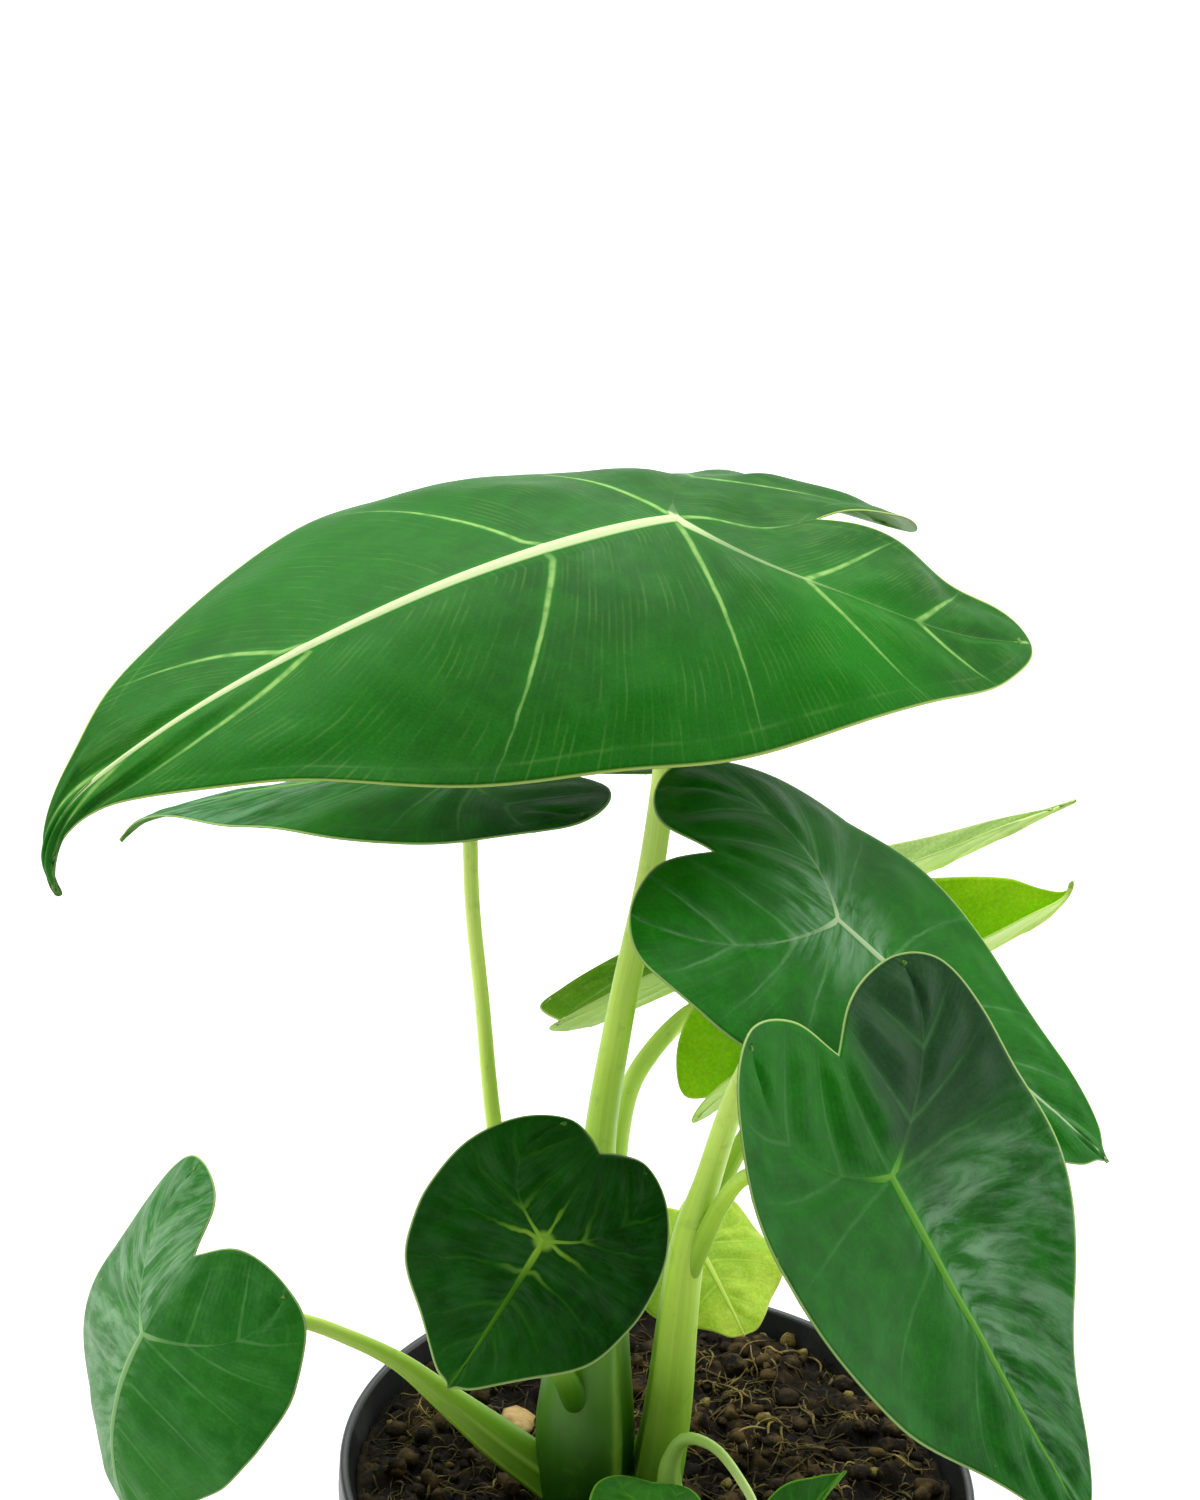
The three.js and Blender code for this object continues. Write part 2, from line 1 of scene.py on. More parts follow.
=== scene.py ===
# A potted Frydek alocasia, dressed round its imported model. Leaves, stalks, soil and pot
# are rebuilt finely in the same places, in millimetres until a mesh is made.

import math
from random import Random
from types import SimpleNamespace

import bpy
import numpy as np
from mathutils import Matrix, Vector


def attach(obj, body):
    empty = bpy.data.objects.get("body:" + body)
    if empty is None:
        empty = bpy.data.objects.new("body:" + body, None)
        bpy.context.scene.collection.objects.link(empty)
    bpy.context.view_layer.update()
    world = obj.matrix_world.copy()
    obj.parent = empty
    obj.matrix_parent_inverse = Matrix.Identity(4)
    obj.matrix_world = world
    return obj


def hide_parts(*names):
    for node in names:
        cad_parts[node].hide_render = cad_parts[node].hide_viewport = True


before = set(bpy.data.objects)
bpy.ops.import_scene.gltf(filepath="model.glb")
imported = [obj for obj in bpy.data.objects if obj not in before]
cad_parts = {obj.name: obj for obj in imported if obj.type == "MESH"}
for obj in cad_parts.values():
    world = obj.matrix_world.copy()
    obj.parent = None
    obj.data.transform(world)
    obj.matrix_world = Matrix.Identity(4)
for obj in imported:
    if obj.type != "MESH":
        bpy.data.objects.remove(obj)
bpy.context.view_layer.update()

MM = 0.001

# Camera, placed by the rim of the pot in the photograph
CAMERA_PLACE = (-24.4, -606.5, 579.5)
CAMERA_PITCH = 26.5
CAMERA_ROLL = 4.9
CAMERA_LENS = 88.13

# Pot and soil
POT_HEIGHT = 115
RIM_RADIUS = 65
BASE_RADIUS = 46
WALL_TOP_RADIUS = 62.8
WALL = 1.6
FLOOR = 2.5
LIP_DEPTH = 7
DRAIN_COUNT = 8
DRAIN_RADIUS = 4
DRAIN_CIRCLE = 33
SOIL_TOP = 110
GAP = 0.3
CROWN = {"x": -10, "y": -6.5, "radius": 14, "bottom": 76, "top": 121}
OFFSET = {"x": 4.8, "y": -22.6, "radius": 4.6, "bottom": 92, "top": 114}

# Blade thickness inside and at the margin
BLADE = 0.55
BLADE_EDGE = 0.3

HOOK_START = 0.82
HOOK_POWER = 1.5

# Each leaf's place and flat outline, as in the solids, then how finely it is divided,
# where its main veins leave the midrib, and which look it takes.
LEAF_DEFAULTS = dict(
    roll=0, bend=0, hook=0, sway=0, twist=0, roof=5, curl=10, leftWidth=1, leftLobe=1, leftSpread=1,
    tail=0.03, fullness=1, blunt=0, wave=0.8, waves=3, veins=(0.2, 0.4, 0.6, 0.8), lobe_veins=(0.3, 0.62),
    sweep=2.2, far_sweep=2.2, stagger=0.03, swells=(), lines=24, rows=36, quilt=0.5, rib=1.1, vein=0.5,
    far_rib=1, crumple=0.15, grain=12,
)

LEAVES = {
    "top": dict(
        joint=(-14.5, 12, 320), heading=214.5, pitch=0, roll=-8.5, bend=37, hook=90, sway=-2,
        roof=6, curl=36, length=144, halfWidth=59, lobe=79, spread=22, leftWidth=0.87, leftSpread=1.08,
        droop=33, notch=0.43, tail=0.07, wave=1.4, waves=3.5, veins=(0.19, 0.53, 0.8),
        swells=((100, 32, 5.5, 20), (60, 48, -2.5, 20), (115, -18, 2.3, 22), (85, -32, 2.6, 24),
                (45, -48, 2.6, 26), (12, -54, 2.1, 16), (-22, -44, -4.5, 15), (-72, 26, 2, 16),
                (-22, 0, -4.5, 14), (-64, 10, -4, 12)),
        lobe_veins=(0.4, 0.7), sweep=2.7, far_sweep=1.7, stagger=0.02, lines=36, rows=54, quilt=1.0,
        rib=1.5, vein=0.62, far_rib=0.1, seed=3, look="large",
    ),
    "second": dict(
        joint=(-49, 19, 260.5), heading=162, pitch=-14, roll=12, bend=17, hook=30, roof=2, curl=16,
        length=82, halfWidth=37.5, lobe=39, spread=16, leftWidth=0.92, leftLobe=0.9, leftSpread=1.4,
        droop=3, notch=0.5, blunt=1, fullness=0.85, tail=0.05, seed=5, look="second",
    ),
    "right": dict(
        joint=(21, -25, 259.5), heading=-5, pitch=-38, roll=8, hook=4, twist=16, roof=4, curl=10,
        length=70, halfWidth=40, lobe=39, spread=20, leftSpread=0.9, droop=41, notch=0.67,
        blunt=0.9, seed=7, quilt=0.7, rib=0.8, vein=0.45, look="right",
    ),
    "front": dict(
        joint=(32, -72, 236), heading=-25, pitch=-52.5, roll=12, hook=5, sway=4, twist=5, roof=3,
        curl=-20, length=73.5, halfWidth=36.5, lobe=38, spread=20, leftLobe=0.88, droop=-18, notch=0.63,
        blunt=0.5, seed=11, quilt=1.0, crumple=0.3, grain=16, rib=0.9, vein=0.45, look="front",
    ),
    "round": dict(
        joint=(-27, -40, 195), heading=242, pitch=-27, roll=-20, sway=-4, twist=3, roof=3, curl=10,
        length=34.5, halfWidth=24.5, lobe=25, spread=8, leftWidth=0.92, droop=4, notch=0.86,
        fullness=1.25, wave=0.5, seed=13, quilt=0.45, crumple=0.42, grain=6, rib=0.6, vein=0.35, look="round",
    ),
    "left": dict(
        joint=(-105, -10, 144.5), heading=205, pitch=-63, roll=-14, bend=60, sway=-3, twist=-5,
        roof=14, curl=14, length=55, halfWidth=33, lobe=31, spread=19, leftWidth=1.03, leftLobe=0.95,
        droop=15, notch=0.64, fullness=1.15, blunt=1, seed=17, rib=0.8, vein=0.4, look="left",
    ),
    "young_folded": dict(
        joint=(6.5, 31, 217.5), heading=16, pitch=26, roll=-8, roof=-50, curl=1, length=75,
        halfWidth=12, lobe=40, spread=8, droop=-4, notch=0.8, tail=0.05, wave=0.4, seed=19,
        quilt=0.15, rib=0.9, vein=0.3, lines=18, rows=20, look="folded",
    ),
    "young_open": dict(
        joint=(20, 12, 208.5), heading=14, pitch=32, roll=5, hook=-60, roof=-50, curl=1, length=64,
        halfWidth=21, lobe=23, spread=10, leftSpread=0.7, droop=15, notch=0.47, tail=0.04,
        fullness=1.8, wave=0.6, seed=23, quilt=0.25, rib=0.9, vein=0.35, lines=18, rows=26,
        look="young",
    ),
    "old": dict(
        joint=(4.5, 22, 155), heading=-56, pitch=-27, roll=-3, sway=-5, twist=11, roof=5, curl=14,
        length=21.5, halfWidth=19, lobe=13, spread=7.5, droop=8, notch=0.7, tail=0.01, fullness=1.3,
        wave=1.3, seed=29, quilt=0.3, rib=0.6, vein=0.3, lines=16, rows=24, look="old",
    ),
    "offset_front": dict(
        joint=(-3, -34, 131.5), heading=262, pitch=-5, roof=-5, curl=1, length=17, halfWidth=11,
        lobe=8, spread=4, droop=10, notch=0.95, tail=0.05, fullness=1.1, wave=0.2, seed=31,
        quilt=0.15, rib=0.5, vein=0.25, lines=12, rows=16, look="offset",
    ),
    "offset_right": dict(
        joint=(25, -37, 130.6), heading=15, pitch=55, roof=-30, curl=1, length=17, halfWidth=8,
        lobe=7, spread=3, droop=0, notch=0.6, tail=0.05, fullness=1.1, wave=0.2, seed=37,
        quilt=0.1, rib=0.45, vein=0.22, lines=12, rows=16, look="offset",
    ),
}

# Stalks: points from the crown up to below the leaf, the radius at each of them and at
# the leaf's joint, up to which share of the length the sheath's wings run, and which way
# its slit faces. A stalk is coloured as if it started pale further up.
STALKS = {
    "top": dict(
        route=[(-13.6, -6.5, 104), (-16, -6.5, 130), (-16.8, -4, 162), (-18, -1, 192), (-16, 2, 222),
               (-12.7, 6, 252), (-12, 9, 280)],
        radii=[9, 10, 6.4, 3.2, 2.7, 2.5, 2.3, 2.1], sheath=0.3, turn=-20, pale=0,
    ),
    "second": dict(
        route=[(-15, -7, 104), (-18.5, -6.5, 130), (-32, -7, 168), (-38.5, -3, 195), (-43, 6, 218),
               (-46.5, 12, 237)],
        radii=[5, 3.4, 2, 1.6, 1.5, 1.5, 1.5], sheath=0.25, turn=200, pale=26,
    ),
    "right": dict(
        route=[(-3, -6, 104), (-0.5, -6, 118), (0.5, -6, 136), (0.5, -7, 157), (1, -9, 177),
               (3.3, -11, 192.5), (6.6, -15, 213.5), (13, -20, 238)],
        radii=[6.2, 5.3, 4.7, 4, 3.5, 2.6, 2.3, 2, 1.9], sheath=0.45, turn=190, pale=36,
    ),
    "front": dict(
        route=[(0.5, -8, 164), (3, -11, 176.5), (6, -17, 191), (9.5, -25, 203), (19, -44, 218)],
        radii=[2.2, 2.1, 1.7, 1.5, 1.5, 1.5], sheath=0, turn=0, pale=60,
    ),
    "round": dict(
        route=[(-12, -8, 104), (-16, -8.5, 130), (-23.5, -25, 160), (-27, -34, 182)],
        radii=[5, 3.2, 1.8, 1.5, 1.5], sheath=0.3, turn=120, pale=-14,
    ),
    "left": dict(
        route=[(-13, -6.5, 107), (-22, -6, 115), (-33, -5.5, 123), (-44.5, -5, 132), (-54, -5, 139.5),
               (-64, -6, 145), (-75, -7, 149), (-91, -9, 149)],
        radii=[4.8, 4.8, 4.4, 2.9, 1.9, 1.6, 1.5, 1.5, 1.5], sheath=0.42, turn=-90, pale=32,
    ),
    "young_folded": dict(
        route=[(-10, 0, 104), (-13, 2, 140), (-14.5, 4, 178), (-13, 9, 199), (-9, 14, 205.5),
               (-3, 20.5, 210), (3, 26.5, 211.5)],
        radii=[5.5, 4, 2.3, 2, 1.9, 1.8, 1.6, 1.3], sheath=0.3, turn=90, pale=14,
    ),
    "young_open": dict(
        route=[(1, -8, 170), (5, -4, 184), (12, 4, 197)],
        radii=[2.4, 2.1, 1.8, 1.5], sheath=0, turn=0, pale=60,
    ),
    "old": dict(
        route=[(-6, 0, 104), (-1, 6, 124), (2, 13, 142)],
        radii=[4, 2.4, 1.5, 1.3], sheath=0.3, turn=0, pale=24,
    ),
}

OFFSET_STALKS = {
    "offset_front": dict(
        route=[(5, -23.5, 108), (2, -26, 119)], radii=[2.6, 1.4, 1], sheath=0.3, turn=0, pale=24,
    ),
    "offset_right": dict(
        route=[(5, -22, 106), (2.5, -20, 121), (1.5, -19, 131), (4, -19.5, 137.5), (9.5, -22, 138),
               (16.5, -26.5, 132), (22, -33, 125.5)],
        radii=[3.4, 2.9, 2, 1.2, 1, 0.9, 0.9, 0.9], sheath=0.4, turn=-30, pale=0,
    ),
}


# Number helpers

def smooth(value, low, high):
    """0 below low, 1 above high, eased between them. It also runs downwards."""
    share = np.clip((value - low) / (high - low), 0, 1)
    return share * share * (3 - 2 * share)


def lattice(i, j, seed):
    value = np.sin(i * 127.1 + j * 311.7 + seed * 74.7) * 43758.5453
    return value - np.floor(value)


def soft_noise(x, y, seed):
    """Smooth repeatable noise from -1 to 1, with features of about one unit."""
    i, j = np.floor(x), np.floor(y)
    u, v = x - i, y - j
    u, v = u * u * (3 - 2 * u), v * v * (3 - 2 * v)
    low = lattice(i, j, seed) * (1 - u) + lattice(i + 1, j, seed) * u
    high = lattice(i, j + 1, seed) * (1 - u) + lattice(i + 1, j + 1, seed) * u
    return 2 * (low * (1 - v) + high * v) - 1


def rough_noise(x, y, seed, octaves):
    total = 0
    for octave in range(octaves):
        total = total + soft_noise(x * 2 ** octave, y * 2 ** octave, seed + octave) / 2 ** octave
    return total


def spline(points, per_segment):
    """Centripetal Catmull-Rom curve through the points, with equal steps in each segment."""
    points = np.array(points, float)
    ends = np.vstack([2 * points[0] - points[1], points, 2 * points[-1] - points[-2]])
    steps = np.linspace(0, 1, per_segment, endpoint=False)[:, None]
    out = []
    for i in range(len(points) - 1):
        a, b, c, d = ends[i:i + 4]
        before, here, after = (math.sqrt(np.linalg.norm(q - p)) for p, q in ((a, b), (b, c), (c, d)))
        start = ((b - a) / before - (c - a) / (before + here) + (c - b) / here) * here
        end = ((c - b) / here - (d - b) / (here + after) + (d - c) / after) * here
        square = -3 * b + 3 * c - 2 * start - end
        cube = 2 * b - 2 * c + start + end
        out.append(b + start * steps + square * steps ** 2 + cube * steps ** 3)
    return np.vstack(out + [points[-1:]])


# Leaf form, the same as the solids'

def leaf_named(name):
    return SimpleNamespace(**{**LEAF_DEFAULTS, **LEAVES[name]})


def midrib_frame(leaf, along):
    """Forward, sideways and up at distances along the midrib, negative behind the stalk."""
    share = along / leaf.length
    back = np.minimum(2, -along / leaf.lobe)
    hooked = np.clip((share - HOOK_START) / (1 - HOOK_START), 0, 1) ** HOOK_POWER
    behind = along < 0
    ahead_pitch = leaf.pitch - leaf.bend * share - leaf.hook * hooked
    pitch = np.radians(np.where(behind, leaf.pitch + leaf.droop * back, ahead_pitch))
    yaw = np.radians(leaf.heading + np.where(behind, 0, leaf.sway * share ** 2))
    roll = np.radians(leaf.roll + np.where(behind, 0, leaf.twist * share))
    forward = np.stack([np.cos(pitch) * np.cos(yaw), np.cos(pitch) * np.sin(yaw), np.sin(pitch)], -1)
    level = np.stack([-np.sin(yaw), np.cos(yaw), 0 * yaw], -1)
    normal = np.cross(forward, level)
    turn, tip = np.cos(roll)[..., None], np.sin(roll)[..., None]
    return forward, level * turn + normal * tip, normal * turn - level * tip


def midrib_point(leaf, along):
    """Points on the midrib, walked out from the joint in short steps."""
    steps = 400
    out = np.zeros(along.shape + (3,))
    for sign, reach in ((1, leaf.length * 1.02), (-1, leaf.lobe * 1.3)):
        step = sign * reach / steps
        forward, _, _ = midrib_frame(leaf, (np.arange(steps) + 0.5) * step)
        walked = np.vstack([np.zeros(3), np.cumsum(forward * step, axis=0)])
        there = along * sign >= 0
        distances = np.arange(steps + 1) * abs(step)
        for axis in range(3):
            out[..., axis][there] = np.interp(np.abs(along[there]), distances, walked[:, axis])
    return out + np.array(leaf.joint, float)


def blade_point(leaf, x, y):
    """Middle surface for flat coordinates x along the midrib and y across it."""
    _, side, up = midrib_frame(leaf, x)
    start = math.radians(leaf.roof)
    turn = math.radians(leaf.curl) / leaf.halfWidth
    end = start + turn * np.abs(y)
    out = (np.sin(end) - math.sin(start)) / turn
    down = (math.cos(start) - np.cos(end)) / turn
    lift = swell_height(leaf, x, y) - down
    return midrib_point(leaf, x) + side * (np.sign(y) * out)[..., None] + up * lift[..., None]


def swell_height(leaf, x, y):
    height = 0 * x
    for centre_x, centre_y, rise, radius in leaf.swells:
        height = height + rise * np.exp(-((x - centre_x) ** 2 + (y - centre_y) ** 2) / radius ** 2)
    return height


def half_sizes(leaf, left):
    """Width, lobe length and lobe spread of one half."""
    if left:
        return leaf.halfWidth * leaf.leftWidth, leaf.lobe * leaf.leftLobe, leaf.spread * leaf.leftSpread
    return leaf.halfWidth, leaf.lobe, leaf.spread


def half_outline(leaf, left):
    """Flat outline of one half, tip to notch, as points at positive y, and each point's share."""
    width, lobe, spread = half_sizes(leaf, left)
    notch = leaf.notch * leaf.lobe
    length, full, tail, blunt = leaf.length, leaf.fullness, leaf.tail, leaf.blunt
    shoulder = 0.45 + 0.12 * blunt
    inner = 0.38 - 0.16 * blunt
    corners = [
        (length, 0),
        (length * (1 - tail), 0.035 * width),
        (length * (1 - 2.2 * tail), 0.12 * width * full),
        (0.7 * length, 0.4 * width * full),
        (0.45 * length, 0.76 * width * math.sqrt(full)),
        (0.2 * length, 0.97 * width),
        (0, width),
        (-0.45 * lobe, (0.93 + 0.05 * blunt) * width),
        (-(0.85 + 0.06 * blunt) * lobe, shoulder * width + (1 - shoulder) * spread),
        (-lobe, spread),
        (-inner * notch - (1 - inner) * lobe, (0.42 - 0.08 * blunt) * spread),
        (-notch, 0),
    ]
    per = 60
    points = spline(corners, per)
    steps = np.linalg.norm(np.diff(points, axis=0), axis=1)
    share = np.concatenate([[0], np.cumsum(steps)]) / steps.sum()
    return {"points": points, "share": share, "lobe_share": share[9 * per]}


def margin_at(outline, share):
    points = outline["points"]
    return np.stack([np.interp(share, outline["share"], points[:, k]) for k in (0, 1)], -1)


def share_at(outline, x):
    """Share of the outline where its outer edge, from the tip to the lobe, passes x."""
    outer = outline["share"] <= outline["lobe_share"]
    return np.interp(-x, -outline["points"][outer, 0], outline["share"][outer])


def margin_wave(leaf, outline, x, y):
    """Height of the margin's wave at flat points of one half, with y positive."""
    angle = np.arctan2(y, x)
    points = outline["points"]
    around = np.maximum.accumulate(np.arctan2(points[:, 1], points[:, 0]))
    share = np.interp(angle, around, outline["share"])
    full = np.interp(angle, around, np.hypot(points[:, 0], points[:, 1]))
    reach = np.hypot(x, y) / np.maximum(full, 1e-6)
    edge = np.minimum(1, y / (0.3 * leaf.halfWidth))
    return leaf.wave * edge * np.clip(reach, 0, 1) ** 3 * np.sin(2 * math.pi * leaf.waves * share)


# Leaf mesh: lines follow the veins, from the midrib and the lobe's rib out to the margin

VEIN_BOW = 0.15


def stations_of(leaf, inner):
    """Where the main veins leave the spine: -1 at the lobe's end, 0 at the joint, 1 at the tip."""
    lobe = [-1, *(-v for v in reversed(leaf.lobe_veins)), 0]
    return lobe if inner else lobe + [*leaf.veins, 1]


def spine_point(leaf, left, place):
    """Midrib for places from 0 to 1, the lobe's rib for places from 0 down to -1."""
    width, lobe, spread = half_sizes(leaf, left)
    t = np.clip(-place, 0, 1)[..., None]
    near, middle, far = (np.array(p) for p in (
        (-0.12 * lobe, 0.3 * width), (-0.45 * lobe, 0.72 * width), (-0.94 * lobe, 1.08 * spread)))
    rib = 3 * (1 - t) ** 2 * t * near + 3 * (1 - t) * t ** 2 * middle + t ** 3 * far
    ahead = np.stack([np.clip(place, 0, 1) * leaf.length, 0 * place], -1)
    return np.where(place[..., None] >= 0, ahead, rib)


def line_ends(leaf, left, inner, outline, place, reach):
    """The spine's points, and where each line starts beside them and ends on the margin."""
    sign = 1 if left else -1
    leaving = smooth(reach, 0, 0.08)
    ahead = np.clip(place, 0, 1)
    back = np.clip(-place, 0, 1)
    lobe_share = outline["lobe_share"]
    if inner:
        share = 1 - (1 - lobe_share) * back ** 1.2
    else:
        ahead = np.clip(ahead - sign * leaf.stagger * np.sin(math.pi * ahead) * leaving, 0, 1)
        swept = 1 - (1 - ahead) ** (leaf.sweep if left else leaf.far_sweep)
        joint_share = share_at(outline, np.array(0.05 * leaf.length))
        share = np.where(back > 0, joint_share + (lobe_share - joint_share) * back ** 0.8,
                         share_at(outline, leaf.length * (0.05 + 0.95 * swept)))
    base = spine_point(leaf, left, place)
    start = spine_point(leaf, left, np.where(back > 0, -back, ahead))
    return base, base + (start - base) * leaving[..., None], margin_at(outline, share)


def bowed_lines(leaf, left, inner, place, reach, start, end):
    """Flat points along the lines, which bow and sway a little between their ends."""
    chord = end - start
    across = np.stack([-chord[..., 1], chord[..., 0]], -1)
    bow = VEIN_BOW * np.sqrt(np.abs(np.sin(math.pi * place))) * np.tanh(place * 8)
    bow = bow * (0.4 if inner else 1)
    flat = start + chord * reach[..., None] + across * (2 * bow * reach * (1 - reach))[..., None]
    free = 4 * reach * (1 - reach) * np.minimum(1, np.abs(flat[..., 1]) / 4)
    sway = soft_noise(flat[..., 0] / 16, (1 if left else -1) * flat[..., 1] / 16, leaf.seed)
    flat = flat + (free * sway * 0.4)[..., None] * np.array([1, 0.6])
    flat[..., 1] = np.maximum(flat[..., 1], 0)
    return flat


def vein_spacing(leaf, flat):
    """Distance between neighbouring main veins at each point."""
    along_line = np.gradient(flat, axis=1)
    over_lines = np.gradient(flat, axis=0)
    cross = over_lines[..., 0] * along_line[..., 1] - over_lines[..., 1] * along_line[..., 0]
    return np.abs(cross) / np.maximum(np.linalg.norm(along_line, axis=-1), 1e-6) * leaf.lines


def distance_to_spine(flat, base):
    tangent = np.gradient(base, axis=0)
    tangent = tangent / np.maximum(np.linalg.norm(tangent, axis=-1, keepdims=True), 1e-9)
    off = flat - base
    return np.abs(off[..., 0] * tangent[..., 1] - off[..., 1] * tangent[..., 0])


def patch(leaf, left, inner):
    """Grid of flat points for one half, outside or inside the lobe's rib, with its vein values."""
    outline = half_outline(leaf, left)
    stations = stations_of(leaf, inner)
    number = np.arange(leaf.lines * (len(stations) - 1) + 1) / leaf.lines
    rows = leaf.rows // 2 if inner else leaf.rows
    place, reach = np.meshgrid(np.interp(number, range(len(stations)), stations),
                               (np.arange(rows + 1) / rows) ** 1.25, indexing="ij")
    number = number[:, None] + 0 * reach
    base, start, end = line_ends(leaf, left, inner, outline, place, reach)
    flat = bowed_lines(leaf, left, inner, place, reach, start, end)
    spacing = vein_spacing(leaf, flat)
    rib = leaf.rib
    far = 1 if left else leaf.far_rib
    thickness = [0.1, 0.15 * rib, 0.3 * rib * far, 0.5 * rib * far, 0.8 * rib, rib, 0.18]
    rib_width = np.interp(place, [-1, -0.5, -0.38, -0.12, 0, 0.12, 1], thickness)
    rib_glow = np.interp(place, [-1, -0.5, -0.38, -0.03, 0], [0.25, 0.35, far, far, 1])
    vein_width = leaf.vein * (1 - reach) ** 0.8 + 0.1
    quilt = np.sin(math.pi * (number - np.floor(number))) ** 2
    to_vein = np.abs(number - np.round(number)) * spacing / vein_width
    return {
        "flat": flat * np.array([1, 1 if left else -1]),
        "wave": margin_wave(leaf, outline, flat[..., 0], flat[..., 1]),
        "edge": (1 - reach) * np.linalg.norm(end - start, axis=-1) * 0.85,
        "quilt": quilt * smooth(reach, 0.02, 0.3) * smooth(reach, 1, 0.7),
        "number": number, "reach": reach, "spacing": spacing, "rib_glow": rib_glow,
        "back": smooth(-place, 0, 0.2), "rib_width": rib_width, "vein_width": vein_width,
        "rib": np.minimum(distance_to_spine(flat, base) / rib_width, 8),
        "vein": np.minimum(to_vein, 12), "margin": reach == 1, "turned": left == inner,
    }


def merge(leaf):
    """The four patches of a blade joined into one sheet: values for each point, and its faces."""
    patches = [patch(leaf, left, inner) for left in (True, False) for inner in (True, False)]
    keys = [k for k in patches[0] if k != "turned"]
    values = {k: np.concatenate([p[k].reshape(-1, *p[k].shape[2:]) for p in patches]) for k in keys}
    faces, start = [], 0
    for p in patches:
        rows, columns = p["wave"].shape
        index = start + np.arange(rows * columns).reshape(rows, columns)
        quad = [index[:-1, :-1], index[1:, :-1], index[1:, 1:], index[:-1, 1:]]
        faces.append(np.stack(quad[::-1] if p["turned"] else quad, -1).reshape(-1, 4))
        start += rows * columns
    faces = np.vstack(faces)
    rounded = np.round(values["flat"] * 500).astype(np.int64)
    rounded[rounded == 0] = 0
    _, first, where = np.unique(rounded, axis=0, return_index=True, return_inverse=True)
    margin = np.zeros(len(first), bool)
    np.logical_or.at(margin, where.ravel(), values["margin"])
    values = {k: v[first] for k, v in values.items()}
    values["margin"] = margin
    faces = where.ravel()[faces]
    a, b, c, d = faces.T
    triangles = np.vstack([np.stack([a, b, c], -1), np.stack([a, c, d], -1)])
    proper = (triangles[:, 0] != triangles[:, 1]) & (triangles[:, 1] != triangles[:, 2])
    triangles = triangles[proper & (triangles[:, 0] != triangles[:, 2])]
    return values, triangles


def point_normals(points, triangles):
    a, b, c = (points[triangles[:, k]] for k in range(3))
    face = np.cross(b - a, c - a)
    total = np.zeros_like(points)
    for k in range(3):
        np.add.at(total, triangles[:, k], face)
    return total / np.maximum(np.linalg.norm(total, axis=1, keepdims=True), 1e-12)


def rim_edges(triangles):
    """Edges with a face on one side only, in that face's direction."""
    edges = np.vstack([triangles[:, [0, 1]], triangles[:, [1, 2]], triangles[:, [2, 0]]])
    size = edges.max() + 1
    forward = edges[:, 0] * size + edges[:, 1]
    backward = edges[:, 1] * size + edges[:, 0]
    return edges[~np.isin(forward, backward)]


def put_in_scene(name, data):
    thing = bpy.data.objects.new(name, data)
    bpy.context.scene.collection.objects.link(thing)
    return thing


def mesh_piece(name, points, faces, material, replaced=(), attributes=None):
    """A named piece from points in millimetres, riding on the one body."""
    mesh = bpy.data.meshes.new(name)
    mesh.from_pydata((np.asarray(points) * MM).tolist(), [], [list(map(int, f)) for f in faces])
    for key, values in (attributes or {}).items():
        values = np.asarray(values, np.float32)
        kind = "FLOAT_VECTOR" if values.ndim == 2 else "FLOAT"
        attribute = mesh.attributes.new(key, kind, "POINT")
        attribute.data.foreach_set("vector" if values.ndim == 2 else "value", values.ravel())
    mesh.materials.append(material)
    mesh.shade_smooth()
    mesh.update()
    piece = put_in_scene(name, mesh)
    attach(piece, "root")
    if replaced:
        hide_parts(*replaced)
    return piece


# How far the midrib and the veins stand out of the blade, as shares of their width
RIB_ABOVE = 0.28
RIB_BELOW = 0.75
VEIN_ABOVE = 0.12
VEIN_BELOW = 0.6


